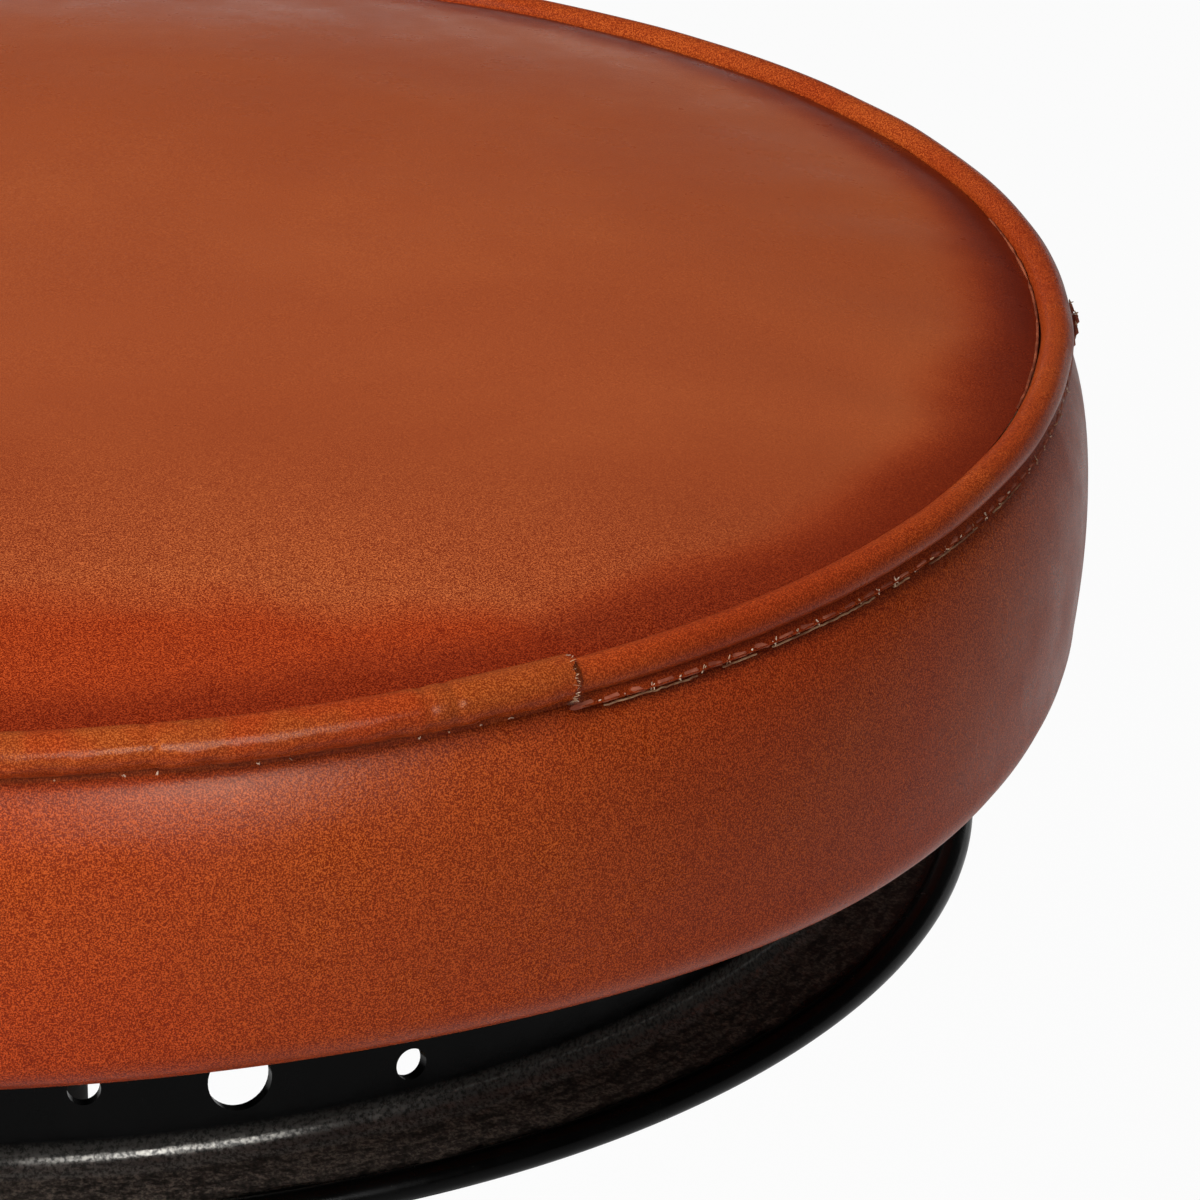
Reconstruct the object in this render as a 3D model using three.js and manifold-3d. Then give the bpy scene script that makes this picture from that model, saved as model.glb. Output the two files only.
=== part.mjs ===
// Screw-lift stool: a round leather cushion on a pressed steel pan, a fast screw that raises
// the seat as it turns, and a base of four bent flat bars with a foot ring.
//
// Millimetres, +Z up. The origin lies on the floor, on the axis of the screw.
// The seat is screwed right down. Azimuths turn about +Z, and azimuth 0 faces -Y.
// Outlines are drawn in (radius, height) and revolved, or drawn in side view and extruded.

import * as THREE from 'three';
import { mergeVertices } from 'three/addons/utils/BufferGeometryUtils.js';
import Module from 'manifold-3d';

const wasm = await Module();
wasm.setup();

// Clearances
const fitGap = 0.3;
const skinGap = 0.5;
const screwRunningGap = 0.6;
const stopGap = 0.5;
const boltHoleGap = 0.4;
const cutOverrun = 2;
const weldTolerance = 0.0001;

// Cushion. Drops are measured down from the plane through the middle of the welt.
const weltPlaneHeight = 640;
const cushionRadius = 180;
const weltDiameter = 5.5;
const leatherThickness = 1.8;
const crownRise = 12;
const crownFlatShare = 0.56;
const crownShoulderShare = 0.9;
const seamRise = 0.5;
const bandTopInset = 3.9;
const bellyReach = 4.6;
const bellyTopDrop = 9;
const bellyLowDrop = 28;
const heelReach = 1.4;
const heelRounding = 8;
const cushionDrop = 54.4;
const lipWidth = 22;
const boardThickness = 12;
const boardMargin = 3.4;

// Sleeve that closes the joint of the welt
const sleeveThickness = 0.9;
const sleeveStartDegrees = -16;
const sleeveEndDegrees = 33.4;
const sleeveLowDegrees = -60;
const sleeveHighDegrees = 125;

// Pressed pan
const panSheet = 2;
const panDepth = 27.5;
const panWallRadius = 147.5;
const panDraftDegrees = 2;
const panShoulderRadius = 6;
const panCreaseRadius = 4.5;
const brimWidth = 15;
const brimFallDegrees = 11;
const beadRadius = 2.6;
const ventGroups = 4;
const ventGroupDegrees = 18.8;
const vents = [
  { diameter: 5.2, degrees: -9.9, rise: 12.6, sides: 8 },
  { diameter: 10.2, degrees: -0.5, rise: 11.4, sides: 12 },
  { diameter: 5.2, degrees: 10.5, rise: 8.4, sides: 8 },
];

// Flange and screw. The travel is the lead times the turns. The plain shank is thicker than the
// thread, so that its shoulder stops on the nut when the seat is right down.
const panBoltCount = 4;
const panBoltCircleRadius = 40;
const flangeDiameter = 116;
const flangeThickness = 6;
const collarDiameter = 44;
const collarLength = 18;
const shankDiameter = 26;
const shankLength = 106;
const screwDiameter = 22;
const threadDepth = 2.4;
const threadLead = 12;
const liftTurns = 8;
const threadFootShare = 0.34;
const threadCrestShare = 0.16;
const threadFadeSteps = 3;
const screwChamfer = 1.5;
const stopWasherDiameter = 44;
const stopWasherThickness = 4;

// Hub and nut
const hubLength = 65;
const hubWidth = 72;
const hubRounding = 12;
const hubBoltWall = 4;
const nutWall = 6;
const nutFlangeWidth = 8;
const nutFlangeThickness = 6;

// Legs, bent from flat bar
const barWidth = 32;
const barThickness = 8;
const barTopDrop = 6;
const kneeClearance = 20;
const kneeRadius = 40;
const thighBendShare = 0.9;
const toeBendRadius = 14;
const thighFallDegrees = 22;
const shinLeanDegrees = 8;
const footRadius = 200;
const toeClearance = 2.3;
const legCount = 4;
const firstLegDegrees = 45;
const legBoltDrops = [14, 38];

// Foot ring and glides
const ringHeightShare = 0.83;
const ringWidth = 25;
const ringThickness = 6;
const glideDiameter = 32;
const glideHeight = 10;
const glideChamfer = 2;
const glideScrewDepth = 6;

// Fasteners
const hexBolt = { shank: 8, across: 13, head: 5.3, chamfer: 1 };
const stopBolt = { shank: 10, across: 17, head: 6.4, chamfer: 1 };
const glideScrew = { shank: 6, across: 11, head: 3.6, chamfer: 1.6 };
const stopBoltDepth = 22;
const nutHeight = 6.5;
const boltTail = 2;
const teeNutDiameter = 22;
const teeNutThickness = 1.5;
const teeNutWall = 1.2;
const teeNutClearance = 1.5;

// Facets
const cushionSides = 48;
const foamSides = 32;
const panSides = 48;
const ringSides = 40;
const screwSides = 12;
const turnedSides = 24;
const boltSides = 8;
const hexSides = 6;
const crownSteps = 7;
const bellySteps = 5;
const cornerSteps = 3;
const weltSteps = 8;
const beadSteps = 6;
const thighSteps = 8;
const kneeSteps = 5;

// Finishes: colour, roughness, metalness
const finishes = {
  leather: [0x9b4b2d, 0.5, 0],
  weltLeather: [0xb4592f, 0.5, 0],
  underside: [0x1d1a19, 0.95, 0],
  foam: [0xd9cfb4, 0.95, 0],
  plywood: [0xb98f5f, 0.8, 0],
  blackSteel: [0x2b2826, 0.45, 0.7],
  screwSteel: [0x6b6967, 0.35, 0.9],
  bronze: [0xa07a3e, 0.4, 0.9],
  zinc: [0x8f9192, 0.4, 0.9],
  rubber: [0x151515, 0.9, 0],
};

const fullTurn = 2 * Math.PI;
const quarterTurn = Math.PI / 2;
const radians = THREE.MathUtils.degToRad;
const point = (x, y) => new THREE.Vector2(x, y);

// Places that several pieces share
const weltRadius = weltDiameter / 2;
const weltCentre = point(cushionRadius - weltRadius, 0);
const seamRadius = weltCentre.x - weltRadius - fitGap;
const heelRadius = cushionRadius + heelReach;
const heelCentre = point(heelRadius - heelRounding, heelRounding - cushionDrop);
const lipRadius = heelCentre.x - lipWidth;
const boardBottom = leatherThickness + fitGap - cushionDrop;
const boardTop = boardBottom + boardThickness;
const boardRadius = heelCentre.x - boardMargin;
const panTop = -cushionDrop - fitGap;
const panCreaseHeight = panTop - panDepth;
const flangeTop = panTop - panSheet - fitGap;
const flangeBottom = flangeTop - flangeThickness;
const shankRadius = shankDiameter / 2;
const screwRadius = screwDiameter / 2;
const screwRootRadius = screwRadius - threadDepth;
const nutBore = screwRadius + screwRunningGap;
const nutRadius = nutBore + nutWall;
const hubBore = nutRadius + fitGap;
const hubBoltDepth = hubWidth / 2 - hubBore - hubBoltWall;
const travel = threadLead * liftTurns;

// The stack below the seat, in heights above the floor
const shankTop = weltPlaneHeight + flangeTop;
const shankBottom = shankTop - shankLength;
const nutTop = shankBottom - stopGap;
const hubTopHeight = nutTop - nutFlangeThickness - fitGap;
const hubBottomHeight = hubTopHeight - hubLength;
const stopWasherTop = hubBottomHeight - stopGap - travel;
const screwBottom = stopWasherTop + fitGap;

// OUTLINES

// Points along an arc, both ends included.
function arc(centre, radius, fromAngle, toAngle, steps) {
  const points = [];
  for (let step = 0; step <= steps; step += 1) {
    const angle = fromAngle + (toAngle - fromAngle) * step / steps;
    points.push(point(Math.cos(angle), Math.sin(angle)).multiplyScalar(radius).add(centre));
  }
  return points;
}

// A line through corners. A corner with a radius is rounded in so many steps.
function bentLine(corners) {
  return corners.flatMap((corner, index) => {
    if (!corner.radius) return [corner.at.clone()];
    const back = corners[index - 1].at.clone().sub(corner.at).normalize();
    const ahead = corners[index + 1].at.clone().sub(corner.at).normalize();
    const halfAngle = Math.acos(back.dot(ahead)) / 2;
    const middle = back.clone().add(ahead).normalize();
    const centre = corner.at.clone().addScaledVector(middle, corner.radius / Math.sin(halfAngle));
    const reach = corner.radius / Math.tan(halfAngle);
    const first = corner.at.clone().addScaledVector(back, reach).sub(centre);
    const last = corner.at.clone().addScaledVector(ahead, reach).sub(centre);
    const turn = Math.atan2(first.cross(last), first.dot(last));
    return arc(centre, corner.radius, first.angle(), first.angle() + turn, corner.steps);
  });
}

// The line moved sideways: to the left of its direction where the distance is positive.
function offsetLine(line, distance) {
  const last = line.length - 1;
  const normals = line.slice(0, last).map((start, index) => {
    const along = line[index + 1].clone().sub(start).normalize();
    return point(-along.y, along.x);
  });
  return line.map((place, index) => {
    const before = normals[Math.max(index - 1, 0)];
    const after = normals[Math.min(index, last - 1)];
    const miter = before.clone().add(after).divideScalar(1 + before.dot(after));
    return place.clone().addScaledVector(miter, distance);
  });
}

// A band of even thickness on the right-hand side of a line, such as leather under its surface.
function skinUnder(line, thickness) {
  const inner = offsetLine(line, -thickness);
  if (line[0].x === 0) inner[0].x = 0;
  return [...line, ...inner.reverse()];
}

// The top of the cushion, from the axis to the seam.
function crownLine() {
  const start = point(0, crownRise);
  const flat = point(crownFlatShare * seamRadius, crownRise);
  const shoulder = point(crownShoulderShare * seamRadius, crownRise);
  const end = point(seamRadius, seamRise);
  return new THREE.CubicBezierCurve(start, flat, shoulder, end).getPoints(crownSteps);
}

// The side of the cushion, from under the welt to the rounded heel.
function bellyLine() {
  const start = point(cushionRadius - bandTopInset, -weltRadius - fitGap);
  const high = point(cushionRadius + bellyReach, -bellyTopDrop);
  const low = point(cushionRadius + bellyReach, -bellyLowDrop);
  const end = point(heelRadius, heelCentre.y);
  const belly = new THREE.CubicBezierCurve(start, high, low, end).getPoints(bellySteps);
  const heel = arc(heelCentre, heelRounding, 0, -quarterTurn, cornerSteps);
  return [...belly, ...heel.slice(1)];
}

// SOLIDS

// A closed outline turned about the axis. Its faces point out whichever way it is drawn.
function revolved(outline, sides) {
  const points = THREE.ShapeUtils.isClockWise(outline) ? outline.slice().reverse() : outline.slice();
  if (points[0].x !== 0) points.push(points[0].clone());
  return new THREE.LatheGeometry(points, sides).rotateX(quarterTurn);
}

// The same with a flat, not an edge, at azimuth 0, and with the flats at the outline's radius.
function revolvedWithFlats(outline, sides) {
  const half = Math.PI / sides;
  const widened = outline.map((place) => point(place.x / Math.cos(half), place.y));
  return revolved(widened, sides).rotateZ(half);
}

function rod(diameter, bottom, top, sides) {
  const radius = diameter / 2;
  const cylinder = new THREE.CylinderGeometry(radius, radius, top - bottom, sides);
  return cylinder.rotateX(quarterTurn).translate(0, 0, (top + bottom) / 2);
}

// An outline in the plane of azimuth 0, extruded to a width that straddles that plane.
function sideProfile(outline, width) {
  const geometry = new THREE.ExtrudeGeometry(new THREE.Shape(outline), { depth: width, bevelEnabled: false });
  return geometry.translate(0, 0, -width / 2).rotateX(quarterTurn).rotateZ(-quarterTurn);
}

// Pieces lie along +Z before they are placed. A tilt of a quarter turn points +Z outwards.
function placed(geometry, position, tilt = 0, azimuth = 0) {
  return geometry.rotateX(tilt).translate(...position).rotateZ(azimuth);
}

function toSolid(geometry) {
  const bare = geometry.clone();
  bare.deleteAttribute('normal');
  bare.deleteAttribute('uv');
  const merged = mergeVertices(bare, weldTolerance);
  const corners = merged.index.array;
  const triangles = [];
  for (let corner = 0; corner < corners.length; corner += 3) {
    const [a, b, c] = corners.slice(corner, corner + 3);
    if (a !== b && b !== c && c !== a) triangles.push(a, b, c);
  }
  const vertProperties = Float32Array.from(merged.getAttribute('position').array);
  const triVerts = Uint32Array.from(triangles);
  return new wasm.Manifold(new wasm.Mesh({ numProp: 3, vertProperties, triVerts }));
}

function toGeometry(solid) {
  const { vertProperties, triVerts } = solid.getMesh();
  const geometry = new THREE.BufferGeometry();
  geometry.setAttribute('position', new THREE.BufferAttribute(vertProperties, 3));
  geometry.setIndex(new THREE.BufferAttribute(triVerts, 1));
  geometry.computeVertexNormals();
  return geometry;
}

function cut(body, cutters) {
  return toGeometry(cutters.reduce((rest, cutter) => rest.subtract(toSolid(cutter)), toSolid(body)));
}

function joined(first, second) {
  return toGeometry(toSolid(first).add(toSolid(second)));
}

function common(first, second) {
  return toGeometry(toSolid(first).intersect(toSolid(second)));
}

// Copies of a cutter at even azimuths
function around(count, firstAzimuth, makeAt) {
  return Array.from({ length: count }, (_, index) => makeAt(firstAzimuth + index * fullTurn / count));
}

function mesh(name, geometry, finish) {
  const [color, roughness, metalness] = finishes[finish];
  const piece = new THREE.Mesh(geometry, new THREE.MeshStandardMaterial({ color, roughness, metalness }));
  piece.name = name;
  return piece;
}

function meshAt(name, geometry, finish, position, tilt = 0) {
  const piece = mesh(name, geometry, finish);
  piece.position.set(...position);
  piece.rotation.x = tilt;
  return piece;
}

// FASTENERS

// Head above the origin, shank below it.
function headedBolt(size, length) {
  const rim = size.across / 2;
  const outline = [
    point(0, -length),
    point(size.shank / 2, -length),
    point(size.shank / 2, 0),
    point(rim, 0),
    point(rim, size.head - size.chamfer),
    point(rim - size.chamfer, size.head),
    point(0, size.head),
  ];
  return revolved(outline, boltSides);
}

function hexHeadBolt(size, length) {
  const cornerDiameter = size.across / Math.cos(Math.PI / hexSides);
  const head = rod(cornerDiameter, 0, size.head, hexSides);
  return joined(head, rod(size.shank, -length, size.head / 2, boltSides));
}

function hexNut(size, height) {
  const cornerDiameter = size.across / Math.cos(Math.PI / hexSides);
  const bore = rod(size.shank + 2 * boltHoleGap, -cutOverrun, height + cutOverrun, boltSides);
  return cut(rod(cornerDiameter, 0, height, hexSides), [bore]);
}

// A hole for a bolt, along +Z from a depth below the origin to a reach above it.
function boltHole(size, depth, reach = cutOverrun) {
  return rod(size.shank + 2 * boltHoleGap, -depth, reach, boltSides);
}

// CUSHION

function cushionTop() {
  return revolved(skinUnder(crownLine(), leatherThickness), cushionSides);
}

function cushionBand() {
  const line = [...bellyLine(), point(lipRadius, -cushionDrop)];
  return revolved(skinUnder(line, leatherThickness), cushionSides);
}

function welt() {
  return revolved(arc(weltCentre, weltRadius, 0, fullTurn, weltSteps).slice(1), cushionSides);
}

// A sleeve of leather round the outer side of the welt, over part of its length.
function weltSleeve() {
  const innerRadius = weltRadius + fitGap;
  const low = radians(sleeveLowDegrees);
  const high = radians(sleeveHighDegrees);
  const outer = arc(weltCentre, innerRadius + sleeveThickness, low, high, weltSteps);
  const inner = arc(weltCentre, innerRadius, high, low, weltSteps);
  const ring = revolved([...outer, ...inner], cushionSides);
  const reach = cushionRadius + heelRadius;
  const ends = [sleeveStartDegrees, sleeveEndDegrees].map((degrees) => radians(degrees) - quarterTurn);
  const corners = ends.map((angle) => point(Math.cos(angle), Math.sin(angle)).multiplyScalar(reach));
  const wedge = new THREE.Shape([point(0, 0), ...corners]);
  const prism = new THREE.ExtrudeGeometry(wedge, { depth: 4 * weltDiameter, bevelEnabled: false });
  return common(ring, prism.translate(0, 0, -2 * weltDiameter));
}

// The leather or cloth panel that closes the underside inside the turned-in lip.
function cushionUnderside() {
  const panel = rod(2 * (lipRadius - skinGap), -cushionDrop, leatherThickness - cushionDrop, foamSides);
  return cut(panel, panBoltHoles());
}

// Foam with a pocket for the board. It backs the leather all over.
function foamCore() {
  const inset = -leatherThickness - skinGap;
  const crown = offsetLine(crownLine(), inset);
  crown[0].x = 0;
  const belly = offsetLine(bellyLine(), inset);
  const pocketRadius = boardRadius + fitGap;
  const floor = belly[belly.length - 1].y;
  const outline = [...crown, ...belly, point(pocketRadius, floor)];
  outline.push(point(pocketRadius, boardTop + skinGap), point(0, boardTop + skinGap));
  return revolved(outline, foamSides);
}

// BOARD AND PAN

function panBoltHoles() {
  const height = boardTop + cutOverrun;
  const depth = boardTop - flangeBottom + 2 * cutOverrun;
  return around(panBoltCount, 0, (azimuth) => (
    placed(boltHole(hexBolt, depth, 0), [0, -panBoltCircleRadius, height], 0, azimuth)
  ));
}

const teeBarrelDiameter = hexBolt.shank + 2 * boltHoleGap + 2 * teeNutWall;
const teeBarrelLength = boardThickness - teeNutThickness - teeNutClearance;

function seatBoard() {
  const board = rod(2 * boardRadius, boardBottom, boardTop, foamSides);
  const recessFloor = boardTop - teeNutThickness - fitGap;
  const cutters = around(panBoltCount, 0, (azimuth) => {
    const hole = rod(teeBarrelDiameter + 2 * fitGap, boardBottom - cutOverrun, boardTop, boltSides);
    const recess = rod(teeNutDiameter + 2 * fitGap, recessFloor, boardTop + cutOverrun, turnedSides);
    return placed(joined(hole, recess), [0, -panBoltCircleRadius, 0], 0, azimuth);
  });
  return cut(board, cutters);
}

// The flange lies at the origin, and the barrel hangs below it.
function teeNut() {
  const bore = hexBolt.shank / 2 + boltHoleGap;
  const outline = [
    point(bore, -teeBarrelLength),
    point(bore + teeNutWall, -teeBarrelLength),
    point(bore + teeNutWall, 0),
    point(teeNutDiameter / 2, 0),
    point(teeNutDiameter / 2, teeNutThickness),
    point(bore, teeNutThickness),
  ];
  return revolved(outline, boltSides);
}

// Middle of the pan's sheet, from the axis over the shoulder, down the wall, through the crease
// and out along the brim to the centre of the bead.
const panDraft = Math.tan(radians(panDraftDegrees));
const brimFall = Math.tan(radians(brimFallDegrees));
const panMiddleTop = panTop - panSheet / 2;
const panMiddleCrease = panCreaseHeight - panSheet / 2;
const panShoulder = point(panWallRadius - (panMiddleTop - panMiddleCrease) * panDraft, panMiddleTop);
const panCrease = point(panWallRadius, panMiddleCrease);
const beadCentre = point(panWallRadius + brimWidth, panMiddleCrease - brimWidth * brimFall);

function panOutline() {
  const middle = bentLine([
    { at: point(0, panMiddleTop) },
    { at: panShoulder, radius: panShoulderRadius, steps: cornerSteps },
    { at: panCrease, radius: panCreaseRadius, steps: cornerSteps },
    { at: beadCentre },
  ]);
  const upper = offsetLine(middle, panSheet / 2);
  const lower = offsetLine(middle, -panSheet / 2);
  const joint = Math.asin(panSheet / 2 / beadRadius);
  const inwards = Math.PI - radians(brimFallDegrees);
  const bead = arc(beadCentre, beadRadius, inwards - joint, inwards + joint - fullTurn, beadSteps);
  return [...upper.slice(0, -1), ...bead, ...lower.slice(0, -1).reverse()];
}

// Groups of small, large and small holes, square to the wall, each a little lower than the last
function ventCutters() {
  return around(ventGroups, radians(ventGroupDegrees), (group) => vents.map((vent) => {
    const hole = rod(vent.diameter, panShoulder.x - panShoulderRadius, beadCentre.x, vent.sides);
    const place = [0, 0, panCreaseHeight + vent.rise];
    return placed(hole, place, quarterTurn, group + radians(vent.degrees));
  })).flat();
}

function seatPan() {
  const outline = panOutline();
  return cut(revolved(outline, panSides), [...panBoltHoles(), ...ventCutters()]);
}

// FLANGE AND SCREW

function screwFlange() {
  const bore = shankRadius + fitGap;
  const outline = [
    point(bore, flangeTop),
    point(flangeDiameter / 2, flangeTop),
    point(flangeDiameter / 2, flangeBottom),
    point(collarDiameter / 2, flangeBottom),
    point(collarDiameter / 2, flangeBottom - collarLength),
    point(bore, flangeBottom - collarLength),
  ];
  return cut(revolved(outline, turnedSides), panBoltHoles());
}

// A closed body through sections that run counter-clockwise when they come towards the eye.
function swept(sections) {
  const size = sections[0].length;
  const positions = sections.flat().flatMap((place) => place.toArray());
  const triangles = [];
  for (let section = 0; section < sections.length - 1; section += 1) {
    for (let side = 0; side < size; side += 1) {
      const a = section * size + side;
      const b = section * size + (side + 1) % size;
      triangles.push(a, b, b + size, a, b + size, a + size);
    }
  }
  const end = (sections.length - 1) * size;
  for (let side = 1; side < size - 1; side += 1) {
    triangles.push(0, side + 1, side, end, end + side, end + side + 1);
  }
  const geometry = new THREE.BufferGeometry();
  geometry.setAttribute('position', new THREE.Float32BufferAttribute(positions, 3));
  geometry.setIndex(triangles);
  return geometry;
}

// One unbroken right-hand ridge of trapezoid section, which fades in at the lower end
// and runs into the plain shank at the upper end.
function threadRidge(bottom, top) {
  const footHalf = threadLead * threadFootShare;
  const crestHalf = threadLead * threadCrestShare;
  const steps = Math.floor((top - bottom - footHalf) / threadLead * screwSides);
  const sections = [];
  for (let step = 0; step <= steps; step += 1) {
    const azimuth = step / screwSides * fullTurn;
    const height = bottom + footHalf + step / screwSides * threadLead;
    const growth = Math.min(1, (step + 1) / threadFadeSteps);
    const crest = screwRootRadius + threadDepth * growth;
    const root = screwRootRadius - threadDepth / 2;
    const corners = [[root, -footHalf], [root, footHalf], [crest, crestHalf], [crest, -crestHalf]];
    sections.push(corners.map(([radius, rise]) => (
      new THREE.Vector3(radius * Math.sin(azimuth), -radius * Math.cos(azimuth), height + rise)
    )));
  }
  return swept(sections);
}

// The screw, in heights above the floor
function screw() {
  const outline = [
    point(0, screwBottom),
    point(screwRootRadius - screwChamfer, screwBottom),
    point(screwRootRadius, screwBottom + screwChamfer),
    point(screwRootRadius, shankBottom),
    point(shankRadius, shankBottom),
    point(shankRadius, shankTop),
    point(0, shankTop),
  ];
  const ridge = threadRidge(screwBottom + screwChamfer, shankBottom + threadLead);
  const threaded = joined(revolved(outline, screwSides), ridge);
  const depth = stopBoltDepth - stopWasherThickness + stopGap;
  const endHole = boltHole(stopBolt, cutOverrun, depth).translate(0, 0, screwBottom);
  return cut(threaded, [endHole]);
}

function stopWasher() {
  const bore = stopBolt.shank / 2 + boltHoleGap;
  const edge = stopWasherDiameter / 2;
  const bottom = stopWasherTop - stopWasherThickness;
  const outline = [point(bore, bottom), point(edge, bottom), point(edge, stopWasherTop)];
  return revolved([...outline, point(bore, stopWasherTop)], turnedSides);
}

// HUB AND NUT

function hub() {
  const half = hubWidth / 2;
  const corner = half - hubRounding;
  const block = new THREE.Shape();
  block.absarc(corner, corner, hubRounding, 0, quarterTurn);
  block.absarc(-corner, corner, hubRounding, quarterTurn, 2 * quarterTurn);
  block.absarc(-corner, -corner, hubRounding, 2 * quarterTurn, 3 * quarterTurn);
  block.absarc(corner, -corner, hubRounding, 3 * quarterTurn, fullTurn);
  const options = { depth: hubLength, bevelEnabled: false, curveSegments: cornerSteps };
  const body = new THREE.ExtrudeGeometry(block, options).translate(0, 0, hubBottomHeight);
  const bore = rod(2 * hubBore, hubBottomHeight - cutOverrun, hubTopHeight + cutOverrun, turnedSides);
  const boltHoles = around(legCount, 0, (azimuth) => legBoltDrops.map((drop) => (
    placed(boltHole(hexBolt, hubBoltDepth), [0, -half, hubTopHeight - drop], quarterTurn, azimuth)
  ))).flat();
  return cut(body, [bore, ...boltHoles]).rotateZ(radians(firstLegDegrees));
}

function screwNut() {
  const flangeBase = hubTopHeight + fitGap;
  const outline = [
    point(nutBore, hubBottomHeight),
    point(nutRadius, hubBottomHeight),
    point(nutRadius, flangeBase),
    point(nutRadius + nutFlangeWidth, flangeBase),
    point(nutRadius + nutFlangeWidth, nutTop),
    point(nutBore, nutTop),
  ];
  return revolved(outline, turnedSides);
}

// LEGS. Their side view has the radius across and the height up.

const footHeight = glideHeight + fitGap + barThickness / 2;
const barRadius = hubWidth / 2 + fitGap + barThickness / 2;
const shinLean = radians(shinLeanDegrees);
const shinRadius = (height) => footRadius - (height - footHeight) * Math.tan(shinLean);

// How far a bend reaches to either side of its corner
const bendReach = (radius, turn) => radius * Math.tan(turn / 2);

// The knee bend starts under the lower bolt.
const kneeTurn = quarterTurn - radians(thighFallDegrees);
const kneeReach = bendReach(kneeRadius, kneeTurn);
const kneeHeight = hubTopHeight - Math.max(...legBoltDrops) - kneeClearance - kneeReach;
const kneeCorner = point(barRadius, kneeHeight);

// The knee and the shin fix where the thigh's line meets the shin's line. The thigh's bend takes
// its share of what the knee bend leaves of the thigh.
const thighRun = 1 / Math.tan(radians(thighFallDegrees));
const thighCornerHeight = (barRadius + kneeHeight * thighRun - shinRadius(0))
  / (thighRun - Math.tan(shinLean));
const thighCorner = point(shinRadius(thighCornerHeight), thighCornerHeight);
const thighReach = (kneeCorner.distanceTo(thighCorner) - kneeReach) * thighBendShare;
const thighRadius = thighReach / Math.tan((kneeTurn - shinLean) / 2);
const shinTopHeight = thighCornerHeight - thighReach * Math.cos(shinLean);
const ringHeight = shinTopHeight * ringHeightShare;

// The glide's screw sits just past the toe bend, and the toe is rounded about it.
const toeReach = bendReach(toeBendRadius, quarterTurn - shinLean);
const glideRadius = footRadius + toeReach + toeClearance + glideScrew.across / 2;
const toeTipRadius = glideRadius + barWidth / 2;

function legBar() {
  const middle = bentLine([
    { at: point(barRadius, hubTopHeight - barTopDrop) },
    { at: kneeCorner, radius: kneeRadius, steps: kneeSteps },
    { at: thighCorner, radius: thighRadius, steps: thighSteps },
    { at: point(footRadius, footHeight), radius: toeBendRadius, steps: cornerSteps },
    { at: point(toeTipRadius, footHeight) },
  ]);
  const upper = offsetLine(middle, barThickness / 2);
  const lower = offsetLine(middle, -barThickness / 2);
  const bar = sideProfile([...upper, ...lower.reverse()], barWidth);
  return cut(common(bar, toePlan()), legHoles());
}

// Plan view of a bar: straight sides and a round toe
function toePlan() {
  const half = barWidth / 2;
  const toe = arc(point(0, -glideRadius), half, -Math.PI, 0, kneeSteps + cornerSteps);
  const plan = new THREE.Shape([...toe, point(half, 0), point(-half, 0)]);
  return new THREE.ExtrudeGeometry(plan, { depth: hubTopHeight, bevelEnabled: false });
}

// Where a bolt through the ring and the shin crosses the middle of the bar
const ringBoltPlace = [0, -shinRadius(ringHeight), ringHeight];
const ringBoltTilt = quarterTurn - shinLean;
const glideScrewPlace = [0, -glideRadius, footHeight];

function legHoles() {
  const toHub = legBoltDrops.map((drop) => (
    placed(boltHole(hexBolt, barThickness, barThickness), [0, -barRadius, hubTopHeight - drop], quarterTurn)
  ));
  const toRing = placed(boltHole(hexBolt, barThickness, barThickness), ringBoltPlace, ringBoltTilt);
  const toGlide = placed(boltHole(glideScrew, barThickness, barThickness), glideScrewPlace);
  return [...toHub, toRing, toGlide];
}

// FOOT RING. It is rolled on a cone, so that it lies flat against the leaning shins.

const outwardsAndUp = point(Math.cos(shinLean), Math.sin(shinLean));
const alongShin = point(-Math.sin(shinLean), Math.cos(shinLean));
const ringInset = barThickness / 2 + fitGap + ringThickness / 2;

function footRing() {
  const centre = point(shinRadius(ringHeight), ringHeight).addScaledVector(outwardsAndUp, -ringInset);
  const corner = (across, along) => centre.clone()
    .addScaledVector(outwardsAndUp, across * ringThickness / 2)
    .addScaledVector(alongShin, along * ringWidth / 2);
  const section = [corner(-1, -1), corner(1, -1), corner(1, 1), corner(-1, 1)];
  const reach = barThickness + ringInset;
  const holes = around(legCount, 0, (azimuth) => (
    placed(boltHole(hexBolt, reach, reach), ringBoltPlace, ringBoltTilt, azimuth)
  ));
  return cut(revolvedWithFlats(section, ringSides), holes).rotateZ(radians(firstLegDegrees));
}

function glide() {
  const radius = glideDiameter / 2;
  const hole = glideScrew.shank / 2 + boltHoleGap;
  const holeFloor = glideHeight - glideScrewDepth - cutOverrun / 2;
  const outline = [
    point(0, 0),
    point(radius - glideChamfer, 0),
    point(radius, glideChamfer),
    point(radius - glideChamfer / 2, glideHeight),
    point(hole, glideHeight),
    point(hole, holeFloor),
    point(0, holeFloor),
  ];
  return revolved(outline, turnedSides);
}

// ASSEMBLY

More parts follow.
